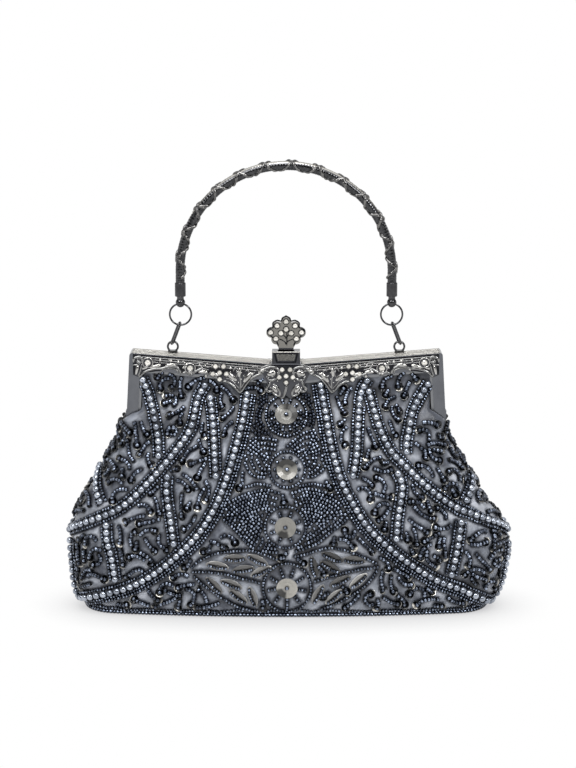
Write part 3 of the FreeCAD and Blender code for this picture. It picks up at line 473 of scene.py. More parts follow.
def frontPoint(share, height):
    # share runs from -1 at the left seam to 1 at the right one
    half, crown, edge = (smoothRead(k, height) for k in (1, 2, 3))
    deep = crown - edge
    side = pouch["sideRound"] * deep
    reach = half - side
    broad = (reach ** 2 + deep ** 2 - side ** 2) / (2 * (deep - side))
    rise = broad - deep
    sideTurn = np.arctan2(rise, reach)
    flatRun = broad * (math.pi / 2 - sideTurn)
    run = np.abs(share) * (flatRun + side * sideTurn)
    turn = np.minimum(run, flatRun) / broad
    left = sideTurn - np.maximum(run - flatRun, 0) / side
    onFlat = run < flatRun
    x = np.where(onFlat, broad * np.sin(turn), reach + side * np.cos(left))
    y = np.where(onFlat, -edge + rise - broad * np.cos(turn), -edge - side * np.sin(left))
    # the flanks slump a little, more on the right: narrower at the shoulder, fuller below
    slump = {flank: sum(part * np.exp(-((height - middle) / span) ** 2) for middle, span, part in marks)
             for flank, marks in pouch["slump"].items()}
    x = x * (1 + np.where(share > 0, slump["right"], slump["left"]) * (x / half) ** 2)
    return np.stack([np.sign(share) * x, y, height + 0 * x], -1)


def gridNormals(points):
    return unit(np.cross(np.gradient(points, axis=1), np.gradient(points, axis=0)))


def surfaceTree(points):
    quads = gridQuads(*points.shape[:2]).tolist()
    return BVHTree.FromPolygons([Vector(p) for p in points.reshape(-1, 3)], quads)


heights = pouch["foot"] + (pouch["top"] - pouch["foot"]) * np.linspace(0, 1, pouch["up"] + 1)
shareGrid, heightGrid = np.meshgrid(np.linspace(-1, 1, pouch["across"] + 1), heights)
clothPoints = frontPoint(shareGrid, heightGrid)
baseTree = surfaceTree(clothPoints)
print("pouch surface ready")


# laying out beads on the surface
def nearest(tree, points):
    places, normals = [], []
    for point in points:
        place, normal, _, _ = tree.find_nearest(Vector(point))
        places.append(place)
        normals.append(normal if normal.y < pouch["rearLean"] else -normal)
    return np.array(places), np.array(normals)


def seen(pixels):
    # where the camera's rays through these pixels meet the pouch
    places = []
    for pixel in pixels:
        hit = baseTree.ray_cast(Vector(eye), Vector(pixelRay(pixel)).normalized())[0]
        places.append(np.array(hit) if hit else onPlane(pixel, pouch["missDepth"]))
    return np.array(places)


taken = {}
cellMm = 4.0


def cellOf(point):
    return tuple(int(math.floor(c / cellMm)) for c in point)


def hasRoom(point, radius, slack):
    x, y, z = cellOf(point)
    for i in (x - 1, x, x + 1):
        for j in (y - 1, y, y + 1):
            for k in (z - 1, z, z + 1):
                for other, size in taken.get((i, j, k), ()):
                    if np.sum((other - point) ** 2) < (slack * (radius + size)) ** 2:
                        return False
    return True


def take(points, radius):
    for point in points:
        taken.setdefault(cellOf(point), []).append((point, radius))


# sizes in mm; slack is how close beads may sit, tip, shift and uneven are how far they stray
beads = {"seedRadius": 0.97, "seedLength": 0.72, "seedStep": 1.8, "seedLift": 0.7, "seedSlack": 0.82,
         "tip": 0.16, "shift": 0.09, "uneven": 0.05, "wingRadius": 1.1, "wingStep": 1.95, "smoky": 0.6,
         "pearlRadius": 2.05, "pearlStep": 4.2, "pearlLift": 1.8, "pearlSlack": 0.9, "innerRow": 2.95,
         "outerRow": 4.7, "lineStep": 1.0, "tones": (0.6, 1.0)}


def layRow(tree, line, step, radius, lift, slack=beads["seedSlack"]):
    # beads in a row along a line, left out where an earlier bead is in the way
    places, normals = nearest(tree, evenSteps(np.asarray(line), step))
    way = unit(np.gradient(places, axis=0))
    places = places + normals * lift
    free = np.array([hasRoom(p, radius, slack) for p in places], bool)
    take(places[free], radius)
    return places[free], way[free], normals[free]


def seedRow(line, tree=baseTree, slack=beads["seedSlack"]):
    return layRow(tree, line, beads["seedStep"], beads["seedRadius"], beads["seedLift"], slack)


def sideLine(line, distance):
    places, normals = nearest(baseTree, evenSteps(line, beads["lineStep"]))
    return places + np.cross(normals, unit(np.gradient(places, axis=0))) * distance


def stacked(rows):
    rows = [row for row in rows if len(row[0])]
    return tuple(np.vstack([row[k] for row in rows]) for k in range(3))


# pearl bands as listed points of the photograph, main ones first
leftBands = {
    "longSwag": [(247, 394.6), (242.6, 422), (234.6, 452), (226, 480.5), (214, 509), (198, 534),
                 (176.6, 555.6), (153, 574), (127.5, 587), (96, 594.7), (80, 594)],
    "highSwag": [(205, 385), (198, 399), (191, 428), (175, 452), (151, 480), (123, 506), (87, 523),
                 (68, 529)],
    "cornerBand": [(143, 379), (149, 394), (156, 424), (158.6, 440), (159, 456)],
    "innerBand": [(210.4, 398.7), (213.6, 429), (215, 459), (216, 476)],
    "midBand": [(167.8, 477), (167, 492), (171, 520), (174, 543)],
    "lowBand": [(107, 525), (107.7, 540), (111.8, 555), (115.7, 578.5)],
    "flankBand": [(95, 466), (98.4, 487), (102, 502)],
    "seamBand": [(73, 540), (75, 565), (79, 590)],
}
rightBands = {
    "longSwag": [(320.6, 384.4), (325, 411), (331, 445.6), (341, 480), (351, 500), (367, 526), (390, 548),
                 (414, 566), (438, 580), (465, 590), (493, 598)],
    "highSwag": [(369, 391.6), (378, 424), (390, 450), (405, 466), (428.5, 488), (453.7, 506),
                 (484.6, 520), (508, 528.6)],
    "cornerBand": [(427.7, 383.6), (413.6, 409), (406.7, 438.4), (406, 452)],
    "innerBand": [(367, 380), (360.7, 394), (358, 424), (356.5, 453.6), (352.7, 476)],
    "midBand": [(397.5, 473.5), (402, 487), (398, 515), (396, 538)],
    "lowBand": [(460.6, 522), (456, 552), (451, 573.6)],
    "flankBand": [(470, 478), (464.5, 500.6)],
    "seamBand": [(505.5, 543), (502, 568), (497, 593)],
}
bandLines = [curveThrough(seen(pixels), beads["lineStep"])
             for bands in (leftBands, rightBands) for pixels in bands.values()]
pearlRows = [layRow(baseTree, line, beads["pearlStep"], beads["pearlRadius"], beads["pearlLift"],
                    beads["pearlSlack"]) for line in bandLines]
bandRows = [seedRow(sideLine(line, side * beads["innerRow"])) for line in bandLines for side in (-1, 1)]
# the long swags have a second row on their lower side
for line, lowerSide in ((bandLines[0], 1), (bandLines[len(leftBands)], -1)):
    bandRows.append(seedRow(sideLine(line, lowerSide * beads["outerRow"])))
frontPearls = stacked(pearlRows)
frontBand = stacked(bandRows)
print("bands:", len(frontPearls[0]), "pearls", len(frontBand[0]), "seed beads")

# flowers in the middle, from the top: a big sequin in a ring of beads with spokes
# middle and ring in pixels, sequin radius in mm
# the dark sector of each sequin is a painted reflection, given in degrees, film how pale the rest is
flowers = [
    {"middle": (286.3, 415.6), "sequin": 6.4, "ring": 20.5, "spokes": 12, "shadedTurn": 35.0, "shadedHalf": 75.0,
     "film": 0.75},
    {"middle": (287, 469.5), "sequin": 5.9, "ring": 18.0, "spokes": 10, "shadedTurn": 95.0, "shadedHalf": 72.0,
     "film": 0.9},
    {"middle": (285.4, 527), "sequin": 6.1, "ring": 20.6, "spokes": 8, "shadedTurn": 255.0, "shadedHalf": 38.0,
     "film": 1.0},
    {"middle": (287, 587), "sequin": 6.1, "ring": 24.0, "spokes": 9, "shadedTurn": 226.0, "shadedHalf": 36.0,
     "film": 1.0},
]
flowerFit = {"lift": 0.9, "clear": 0.3, "ringSlack": 0.4, "spokeStart": 12.0, "spokeGap": 2.2,
             "circleSteps": 40, "collar": (17.4, 14.2), "collarStart": 165.0, "collarStop": 375.0,
             "eyeLift": 1.2, "eyeRadius": 1.15, "eyeWay": (1.0, 0, 0.2),
             # painted shine of the film in its painted dark sector and over its hub, and the sector's blur in
             # degrees
             "shadedShine": 0.1, "hubShine": 0.7, "hubReach": 0.45, "shadedBlur": 8}
# bead wings as an edge and the point that their rows close in on
wings = {
    "secondLeft": ([(276.2, 440.5), (262.8, 438.6), (253.3, 439), (244.7, 447.2), (240.4, 452),
                    (244.7, 461.6), (250.4, 473), (258, 477), (268, 477)], (273, 461)),
    "secondRight": ([(287.7, 446.2), (296.3, 438.6), (306.9, 432), (320.3, 431), (325, 438.6), (328.4, 447.2),
                     (327, 460.6), (323, 469), (314.5, 476), (305, 477)], (299, 461)),
    "thirdLeft": ([(278.4, 493), (265.7, 490), (247, 494), (232, 500.7), (222.8, 508), (220.8, 516),
                   (229.5, 524), (237.6, 532), (244.3, 540), (255, 548.3), (265.7, 551), (276.4, 552.3)],
                  (266, 529)),
    "thirdRight": ([(292.4, 493), (307.2, 488.7), (326, 492.7), (340.6, 500), (347.3, 508), (348, 516),
                    (339.3, 525.5), (328.6, 533.5), (319.2, 541.6), (308.5, 547), (296.5, 551)], (306, 529)),
    "firstLeft": ([(277, 393), (263, 396), (253, 404), (249, 418), (252, 430), (262, 436), (272, 437)],
                  (275, 416)),
    "firstRight": ([(296, 393), (309, 396), (317, 404), (321, 418), (319, 430), (309, 436), (300, 437)],
                   (298, 416)),
}
wingStepPx = 3.8
wingFewest = 4
leaves = {
    "leftUpper": [(192, 567), (200, 560.3), (214.8, 553.6), (232.2, 551), (249.6, 550.3), (263, 553.6),
                  (276.4, 559)],
    "leftRib": [(193.4, 571.7), (206.8, 571.7), (224.2, 573.7), (240.2, 577.7), (259, 582.4)],
    "leftLower": [(192.7, 574), (198.7, 580.4), (210.8, 589.8), (224.2, 599), (237.6, 605.8), (252.3, 610)],
    "rightUpper": [(295, 556.3), (307, 553.6), (319.2, 549.6), (331.3, 547.6), (346, 550.3), (359.4, 555),
                   (376, 563)],
    "rightRib": [(377.5, 567), (360.7, 569), (344.7, 572.4), (330, 576.4), (315.2, 581)],
    "rightLower": [(378, 569), (372.8, 576.4), (364.7, 585.8), (352.7, 593.8), (338, 601.8), (321.9, 608)],
    "arcUnderFirst": [(268, 428), (275, 435), (286.5, 438), (298, 435), (305, 428)],
    "arcUnderSecond": [(246, 487), (258, 484), (270, 486)],
    "arcUnderSecondRight": [(300, 486), (312, 484), (324, 486)],
}
# leaf-shaped sequins: middle in pixels, turn in degrees, how pale the film is
leafSequins = [((234.9, 558.3), 0, 0.55), ((257.4, 559.7), -25, 0.9), ((217.4, 565.4), -10, 0.8),
               ((243.3, 569.2), 8, 0.6), ((260.9, 571), 25, 0.9), ((214, 585), -45, 0.45),
               ((231.4, 583.8), -20, 1.0), ((238.4, 596), -35, 0.7), ((252.5, 596.2), -70, 0.9),
               ((332, 557), -22, 0.2), ((353.5, 560), -5, 0.4), ((313.5, 567), -78, 0.15),
               ((330, 566.5), -28, 0.25), ((340, 581), 25, 0.6), ((358, 580.5), 40, 0.9),
               ((318, 593.5), 60, 0.8), ((334, 596), 40, 0.85)]
leafFit = {"half": 6.9, "wide": 0.4, "lift": 0.9, "aimPx": 3, "rowReach": 4.9, "rowDown": 1.1, "rowBow": 0.7,
           "rowLift": 1.9, "rowSlack": 0.4, "rowMarks": (-1, -0.33, 0.33, 1),
           "keep": (-4.8, -2.4, 0, 2.4, 4.8), "keepSide": 0.5, "keepRadius": 1.6,
           # painted shadow under the row of beads and painted highlight on the rim, as shares of the half
           # length
           "rowShade": 0.95, "rowPlace": 0.07, "rowBlur": 0.12, "rowEnd": (0.65, 0.85),
           "flatShine": 0.75, "rimReach": (0.7, 1.0)}
motifRows, wingRows, smokyRows = [], [], []
sequinSeats, leafSeats = [], []


def pixelCircle(middle, radius, start=0.0, stop=360.0):
    turn = np.radians(np.linspace(start, stop, flowerFit["circleSteps"]))
    return np.stack([middle[0] + radius * np.cos(turn), middle[1] - radius * np.sin(turn)], -1)


for flower in flowers:
    middle = np.array(flower["middle"])
    seat, normal = nearest(baseTree, seen([middle]))
    sequinSeats.append((seat[0] + normal[0] * flowerFit["lift"], normal[0]))
    take([seat[0]], flower["sequin"] + flowerFit["clear"])
    motifRows.append(seedRow(seen(pixelCircle(middle, flower["ring"]))))
    for k in range(flower["spokes"]):
        turn = math.radians(90 + 360 * (k + 0.5) / flower["spokes"])
        out = np.array([math.cos(turn), -math.sin(turn)])
        ends = (flowerFit["spokeStart"], flower["ring"] - flowerFit["spokeGap"])
        motifRows.append(seedRow(seen([middle + out * end for end in ends])))
for ring in flowerFit["collar"]:
    arc = pixelCircle(flowers[0]["middle"], ring, flowerFit["collarStart"], flowerFit["collarStop"])
    smokyRows.append(seedRow(seen(arc)))
for pixels in leaves.values():
    motifRows.append(seedRow(curveThrough(seen(pixels), beads["lineStep"])))
for middle, turn, pale in leafSequins:
    turn = math.radians(turn)
    along = np.array([math.cos(turn), -math.sin(turn)]) * leafFit["aimPx"]
    tip = seen([np.array(middle) - along, middle, np.array(middle) + along])
    seat, normal = nearest(baseTree, tip[1:2])
    way = unit(tip[2] - tip[0])
    way = way if np.cross(normal[0], way)[2] > 0 else -way
    side = np.cross(normal[0], way)
    leafSeats.append((seat[0] + normal[0] * leafFit["lift"], normal[0], way))
    # a short bowed row of beads holds each one down
    row = [seat[0] + way * r * leafFit["rowReach"] - side * (leafFit["rowDown"] - leafFit["rowBow"] * r * r)
           for r in leafFit["rowMarks"]]
    motifRows.append(layRow(baseTree, row, beads["seedStep"], beads["seedRadius"], leafFit["rowLift"],
                            leafFit["rowSlack"]))
    take([seat[0] + way * r + side * leafFit["keepSide"] for r in leafFit["keep"]], leafFit["keepRadius"])


def insideRing(points):
    out = np.zeros(len(points), bool)
    for (seat, normal), flower in zip(sequinSeats, flowers):
        reach = flower["ring"] * view["mmPerPixel"] - flowerFit["ringSlack"]
        out |= np.linalg.norm(points - seat, axis=1) < reach
    return out


for name, (pixels, focus) in wings.items():
    edge = np.array(pixels, float)
    focus = np.array(focus, float)
    reach = np.max(np.linalg.norm(edge - focus, axis=1))
    rows = smokyRows if name.startswith("first") else wingRows
    for k in range(int(reach / wingStepPx)):
        ring = focus + (edge - focus) * (1 - k * wingStepPx / reach)
        line = curveThrough(seen(ring), beads["lineStep"])
        line = line[~insideRing(line)]
        if len(line) > wingFewest:
            rows.append(layRow(baseTree, line, beads["wingStep"], beads["wingRadius"], beads["seedLift"]))
frontMotif = stacked(motifRows)
frontWings = stacked(wingRows)
frontSmoky = stacked(smokyRows)
print("flowers:", len(frontMotif[0]) + len(frontWings[0]), "seed beads", len(sequinSeats), "sequins",
      len(leafSeats), "leaf sequins")


def distanceTo(points, cloud):
    tree = KDTree(len(cloud))
    for i, p in enumerate(cloud):
        tree.insert(Vector(p), i)
    tree.balance()
    return np.array([tree.find(Vector(p))[2] for p in points])


def pushed(points, normals, distance):
    flat = points.reshape(-1, 3) + normals.reshape(-1, 3) * distance[:, None]
    return flat.reshape(points.shape)


# the satin puffs up between the stitched rows, with wrinkles about 11 to 50 mm long
# waves in radians for each mm, swayed by slower ones
wrinkles = {"height": 0.42, "across": 0.55, "acrossSway": 2.1, "swayUp": 0.21, "up": 0.34, "upSway": 1.7,
            "swayAcross": 0.13, "slant": 0.6, "slantAcross": 0.23, "slantUp": 0.47}
sewn = np.vstack([row[0] for row in (frontPearls, frontBand, frontMotif, frontWings, frontSmoky)])
clothX, clothZ = clothPoints[..., 0].ravel(), clothPoints[..., 2].ravel()
toSewn = distanceTo(clothPoints.reshape(-1, 3), sewn)
swell = pouch["puff"] * (ease(toSewn, *pouch["puffReach"]) - pouch["puffDip"])
acrossSway = wrinkles["acrossSway"] * np.sin(clothZ * wrinkles["swayUp"])
upSway = wrinkles["upSway"] * np.sin(clothX * wrinkles["swayAcross"])
slantWave = np.sin(clothX * wrinkles["slantAcross"] - clothZ * wrinkles["slantUp"])
ripple = (np.sin(clothX * wrinkles["across"] + acrossSway) * np.sin(clothZ * wrinkles["up"] + upSway)
          + wrinkles["slant"] * slantWave)
held = (ease(clothZ, pouch["foot"], pouch["heldFoot"]) * (1 - ease(clothZ, *pouch["heldTop"]))
        * ease(1 - np.abs(shareGrid.ravel()), 0.0, pouch["heldSeam"]))
clothPoints = pushed(clothPoints, gridNormals(clothPoints), (swell + wrinkles["height"] * ripple) * held)
clothTree = surfaceTree(clothPoints)

# short strings of beads between the bands, each with a cup sequin at its end
# counts are the fewest and most beads, longest strings first
strings = {"counts": [(4, 6), (3, 4), (1, 2)], "beadRadius": 1.36, "beadStep": 1.8, "gap": 0.12, "lift": 0.95,
           "bend": 0.6, "bendStep": 0.4, "spread": 0.95, "slack": 0.93, "lustre": 0.95, "endLift": 0.5,
           "cupRadius": 2.75, "cupLift": 0.6, "cupSlack": 0.8, "cupTip": 0.22, "litEvery": 5, "litGain": 1.25,
           "dimGain": 0.9, "litCup": (0.3, 0.75), "dimCup": (0.6, 0.95), "farShine": 0.25,
           "glintTurn": (1.5, 0.4), "free": 2.0, "low": 5.6, "seamClear": 1.3, "friezeClear": 2.2,
           "armHeight": 113.0, "armClear": 79.5}
plate = nodes["front_frieze"]
plateMiddle, plateBelow = -8.75, 106.0
plateTree = BVHTree.FromPolygons([plate.matrix_world @ v.co / mm for v in plate.data.vertices],
                                 [list(p.vertices) for p in plate.data.polygons])


def friezeFoot(x):
    # height of the frieze's lower edge, or None past its ends
    hit = plateTree.ray_cast(Vector((x, plateMiddle, plateBelow)), Vector(upward))[0]
    return None if hit is None else hit.z


def openCloth(points):
    # clear of the seam, the hem, the arms and the lower edge of the frieze
    if points[:, 1].max() > -strings["seamClear"] or points[:, 2].min() < strings["low"]:
        return False
    for x, y, z in points:
        if z > strings["armHeight"]:
            foot = friezeFoot(x)
            if abs(x) > strings["armClear"] or foot is None or z > foot - strings["friezeClear"]:
                return False
    return True


stringRows, cupSeats = [], []
clothNow = clothPoints.reshape(-1, 3)
freeSpots = np.flatnonzero((toSewn > strings["free"]) & (clothZ > strings["low"])
                           & (clothNow[:, 1] < -strings["seamClear"]))
for fewest, most in strings["counts"]:
    for spot in chance.permutation(freeSpots):
        place, normal = nearest(clothTree, clothNow[spot:spot + 1])
        if not hasRoom(place[0], strings["cupRadius"], strings["cupSlack"]):
            continue
        turn = chance.normal(math.pi / 2, strings["spread"])
        bend = chance.normal(0, strings["bend"])
        level = unit(np.cross(normal[0], upward))
        raised = np.cross(level, normal[0])
        path = [place[0]]
        for bead in range(int(chance.integers(fewest, most + 1)) + 1):
            turn += bend * strings["bendStep"]
            path.append(path[-1] + strings["beadStep"] * (-level * math.cos(turn) + raised * math.sin(turn)))
        path, normals = nearest(clothTree, np.array(path))
        spots = path + normals * strings["lift"]
        wide = strings["beadRadius"] + strings["gap"]
        if not openCloth(path) or not all(hasRoom(p, wide, strings["slack"]) for p in spots):
            continue
        way = unit(np.gradient(path, axis=0))
        cupSeats.append((path[0] + normals[0] * strings["cupLift"], normals[0], way[0]))
        spots[0] += normals[0] * strings["endLift"]
        stringRows.append((spots, way, normals))
        take(spots[1:], strings["beadRadius"])
        take(path[:1], strings["cupRadius"])
frontStrings = stacked(stringRows)
print("strings:", len(stringRows), "with", len(frontStrings[0]), "seed beads")

# a row of seed beads along the foot of the wall
hem = {"height": 4.2, "share": 0.99, "steps": 300, "slack": 0.8}
hemShares = np.linspace(-hem["share"], hem["share"], hem["steps"])
hemLine = frontPoint(hemShares, np.full(hem["steps"], hem["height"]))
frontHem = seedRow(hemLine, clothTree, hem["slack"])

# a slight pucker under each string
pinch = np.exp(-(distanceTo(clothNow, frontStrings[0]) / pouch["pinchReach"]) ** 2) * pouch["pinch"]
clothPoints = pushed(clothPoints, gridNormals(clothPoints), -pinch * held)


def foldOver(piece):
    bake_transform(piece)


# satin and lining, mm; flat sizes of the cut panels in metres and square metres
cloth = {"satin": 0.45, "lining": 0.35, "liningInset": 2.1, "liningFoot": 3.2,
         "rimUv": 0.005, "uvMargin": 0.01,
         # painted shade darkens the satin within this reach of a stitch, where beads shadow it, and towards
         # the top, under the frame and frieze
         "stitchShadow": (0.9, 2.5), "shadeUnderFrieze": (96.0, 122.0), "friezeShadeDepth": 0.32,
         "satinCut": (0.278, 0.152), "satinArea": 0.036, "liningCut": (0.27, 0.146), "liningArea": 0.033,
         "pocketCut": (0.11, 0.048), "baseCut": (0.233, 0.054), "baseArea": 0.011}


def clothSheet(name, points, thickness, material, rear, tone=None):
    # two-sided cloth on the front, or mirrored to the rear
    verts, faces = closedSheet(points, points - gridNormals(points) * thickness)
    rows, columns = points.shape[:2]
    quads = gridQuads(rows, columns)
    low, high = cloth["uvMargin"], 1 - cloth["uvMargin"]
    u, v = np.meshgrid(np.linspace(low, high, columns), np.linspace(low, high, rows))
    flat = np.stack([u.ravel(), v.ravel()], -1)[quads]
    rim = np.full((len(faces) - 2 * len(quads), 4, 2), cloth["rimUv"])
    uv = np.vstack([flat, flat[:, ::-1], rim])
    if rear:
        verts, faces, uv = mirrorY(verts), faces[:, ::-1], uv[:, ::-1]
    return newPiece(name, verts, faces, material, uv=uv, tone=tone)


sewn = np.vstack([sewn, frontStrings[0], [seat for seat, normal, way in cupSeats]])
# painted shade: the satin's tone falls near the stitches and towards the top
free = ease(distanceTo(clothPoints.reshape(-1, 3), sewn), *cloth["stitchShadow"])
free = free * (1 - cloth["friezeShadeDepth"] * ease(clothZ, *cloth["shadeUnderFrieze"]))
liningHeights = np.linspace(cloth["liningFoot"], pouch["top"], len(heights))[:, None] + 0 * shareGrid
liningPoints = frontPoint(shareGrid, liningHeights)
liningPoints = liningPoints - gridNormals(liningPoints) * cloth["liningInset"]
sewnOn = {"front": [], "rear": []}
for side in ("front", "rear"):
    rear = side == "rear"
    panel = clothSheet(side + "Satin", clothPoints, cloth["satin"], "satinSlateWoven", rear, np.tile(free, 2))
    lining = clothSheet(side + "Lining", liningPoints, cloth["lining"], "liningTaffetaWoven", rear)
    if rear:
        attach(panel, "rear_half")
        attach(lining, "rear_half")
        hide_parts("pouch_rear", "rear_upper_panel")
        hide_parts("lining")
    else:
        foldOver(panel)
        foldOver(lining)
        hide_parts("pouch_front", "front_upper_panel")
print("satin and lining laid")

# bead forms: closed rings of quads turned about Z, unit size
seedForm = revolved([(0.34, -0.8), (0.78, -1.0), (1.0, -0.4), (1.0, 0.4), (0.78, 1.0), (0.34, 0.8)], 8)
pearlForm = revolved([(math.cos(a), math.sin(a)) for a in np.radians(np.linspace(-82, 82, 9))], 14)
cupForm = revolved([(0.22, 0.02), (0.52, 0.06), (0.86, 0.22), (1.0, 0.42), (0.99, 0.5),
                    (0.84, 0.31), (0.5, 0.15), (0.22, 0.11)], 18)
discForm = revolved([(0.13, 0.02), (0.4, 0.03), (0.5, 0.04), (0.99, 0.2), (1.0, 0.24),
                     (0.52, 0.09), (0.4, 0.08), (0.13, 0.08)], 24)


def leafShape(sides=24, wide=leafFit["wide"], blunt=0.35, trough=0.03, sheet=0.02):
    # pointed oval sheet with a slight trough
    turn = fullTurn(sides)
    edge = np.stack([np.cos(turn), wide * np.sin(turn) * np.abs(np.sin(turn)) ** blunt, sheet + 0 * turn], -1)
    rings = [edge * np.array([share, share, 1]) - np.array([0, 0, trough * (1 - share)])
             for share in (1.0, 0.86, 0.7, 0.54, 0.38, 0.22, 0.06)]
    rings += [ring - np.array([0, 0, sheet]) for ring in rings[::-1]]
    return closedForm(np.stack(rings, 1))


leafForm = leafShape()
# painted highlight on the crown, with painted shade down the flanks and into the holes
shine = {"seedCrown": (0.3, 1.0), "seedEnds": (0.35, 1.0), "seedEndShade": 0.75, "pearlCrown": (-0.8, 0.7)}
seedX, seedZ = seedForm[0].T[[0, 2]]
seedEnds = ease(np.abs(seedZ), *shine["seedEnds"])
seedShade = ease(seedX, *shine["seedCrown"]) * (1 - shine["seedEndShade"] * seedEnds)
pearlShade = ease(pearlForm[0][:, 0], *shine["pearlCrown"])


def dress(name, form, places, axes, ups, scales, material, smooth=True, shade=1.0):
    # the same beads on the front, and mirrored on the rear
    tones = chance.uniform(*beads["tones"], len(places))
    for side, mirror in (("front", np.asarray), ("rear", mirrorY)):
        piece = scattered(side + name, form, mirror(places), mirror(axes), mirror(ups), scales, material,
                          tones, smooth, shade)
        sewnOn[side].append(piece)
        if side == "front":
            foldOver(piece)
        else:
            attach(piece, "rear_half")


# the gain scales a group's tone, painted highlight and shade included
def dressSeeds(name, row, radius=beads["seedRadius"], lustre=1.0):
    # real rows are never quite even in place, lean and size
    places = row[0] + chance.normal(0, beads["shift"], row[0].shape)
    ways = unit(row[1] + chance.normal(0, beads["tip"], row[1].shape))
    spread = 1 + chance.normal(0, beads["uneven"], (len(places), 1))
    size = np.array([1, 1, beads["seedLength"] / beads["seedRadius"]]) * radius * spread
    dress(name, seedForm, places, ways, row[2], size, "seedBeadLustreGlass", shade=seedShade * lustre)


def columnsOf(seats):
    return tuple(np.array(column) for column in zip(*seats))


dressSeeds("BandBeads", frontBand)
dressSeeds("FlowerBeads", frontMotif)
dressSeeds("WingBeads", frontWings, beads["wingRadius"])
dressSeeds("SmokyBeads", frontSmoky, beads["wingRadius"], beads["smoky"])
dressSeeds("StringBeads", frontStrings, strings["beadRadius"], strings["lustre"])
dressSeeds("HemBeads", frontHem)
dress("Pearls", pearlForm, *frontPearls, beads["pearlRadius"] * np.ones(3), "pearlLacquerMoulded",
      shade=pearlShade)

# big sequins: pressed facets, a painted dark reflection in one sector, with a bead as the eye
seats, facing = columnsOf(sequinSeats)
size = np.repeat([[flower["sequin"]] for flower in flowers], 3, 1)
shadedTurn, shadedHalf, film = (np.array([[flower[key]] for flower in flowers])
                        for key in ("shadedTurn", "shadedHalf", "film"))
bright = np.hstack([-np.cos(np.radians(shadedTurn)), 0 * shadedTurn, -np.sin(np.radians(shadedTurn))])
discX, discY = discForm[0].T[:2]
fromShaded = np.abs(np.degrees(np.arctan2(discY, -discX)))
hub = flowerFit["hubShine"] * (np.hypot(discX, discY) < flowerFit["hubReach"])
clear = ease(fromShaded - shadedHalf, -flowerFit["shadedBlur"], flowerFit["shadedBlur"])
discShade = (flowerFit["shadedShine"] + (1 - flowerFit["shadedShine"]) * np.maximum(clear, hub)) * film
dress("BigSequins", discForm, seats, facing, bright, size, "sequinFoilPressed", False, discShade)
eyeWays = np.tile(flowerFit["eyeWay"], (len(seats), 1))
dress("SequinEyes", seedForm, seats + facing * flowerFit["eyeLift"], eyeWays, facing,
      flowerFit["eyeRadius"] * np.ones(3), "seedBeadLustreGlass", shade=seedShade)

# leaf sequins: painted highlight at the rim, painted shadow under their row of beads
seats, facing, ways = columnsOf(leafSeats)
leafX, leafY = leafForm[0].T[:2]
underRow = np.exp(-((leafY + leafFit["rowPlace"]) / leafFit["rowBlur"]) ** 4)
underRow = underRow * (1 - ease(np.abs(leafX), *leafFit["rowEnd"]))
rimward = ease(np.abs(leafY) / leafFit["wide"] + leafX ** 2, *leafFit["rimReach"])
leafShade = leafFit["flatShine"] + (1 - leafFit["flatShine"]) * rimward
leafShade = leafShade * (1 - leafFit["rowShade"] * underRow)
leafShade = leafShade * np.array([[pale] for middle, turn, pale in leafSequins])
dress("LeafSequins", leafForm, seats, facing, ways, leafFit["half"] * np.ones(3), "sequinPaleFilmPressed",
      shade=leafShade)

# cup sequins: a painted glint on the rim away from the string, and on some a painted highlight over the whole
# cup
seats, facing, ways = columnsOf(cupSeats)
leanOut = unit(facing + chance.normal(0, strings["cupTip"], facing.shape))
cupX, cupY = cupForm[0].T[:2]
cupReach = np.hypot(cupX, cupY)
fromGlint = np.abs(np.arctan2(cupY, -cupX))
lit = (np.arange(len(seats)) % strings["litEvery"] == 0)[:, None]
cupShade = np.where(lit, ease(cupReach, *strings["litCup"]), ease(cupReach, *strings["dimCup"]))
glint = strings["farShine"] + (1 - strings["farShine"]) * ease(fromGlint, *strings["glintTurn"])
cupShade = cupShade * glint * np.where(lit, strings["litGain"], strings["dimGain"])
dress("CupSequins", cupForm, seats, leanOut, ways, strings["cupRadius"] * np.ones(3), "sequinSmokePressed",
      shade=cupShade)
print("beads, pearls and sequins set")

# piping along the foot: a cord with beads strung over it, and the cloth under the base
low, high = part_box("bottom_piping")
piping = {"thread": 0.7, "threadSides": 10, "lineStep": 1.5, "height": 1.2, "inset": 1.2, "arcSteps": 24,
          "beadRadius": 1.15, "beadLength": 0.95, "beadStep": 2.1, "beadLean": 0.7}
piping["halfWidth"] = high.x / mm - piping["inset"]
piping["halfDepth"] = high.y / mm - piping["inset"]
piping["round"] = piping["halfDepth"] * pouch["sideRound"]
base = {"inset": 0.6, "height": 0.6, "rise": 0.5, "sheet": 0.5,
        "shares": (1.0, 0.97, 0.9, 0.75, 0.5, 0.25, 0.02)}


def ovalLine(inset, height):
    # round the foot of the pouch: two broad arcs and two narrow ones
    halfWidth, halfDepth = piping["halfWidth"] - inset, piping["halfDepth"] - inset
    corner, count = piping["round"], piping["arcSteps"]
    reach = halfWidth - corner
    broad = (reach ** 2 + halfDepth ** 2 - corner ** 2) / (2 * (halfDepth - corner))
    rise = broad - halfDepth
    sideTurn = math.atan2(rise, reach)
    points = []
    for side in (1, -1):
        for a in np.linspace(-sideTurn, sideTurn, count, endpoint=False):
            points.append([side * (reach + corner * math.cos(a)), side * corner * math.sin(a), height])
        for a in np.linspace(math.pi / 2 - sideTurn, -(math.pi / 2 - sideTurn), 3 * count, endpoint=False):
            points.append([side * broad * math.sin(a), side * (broad * math.cos(a) - rise), height])
    return np.array(points)


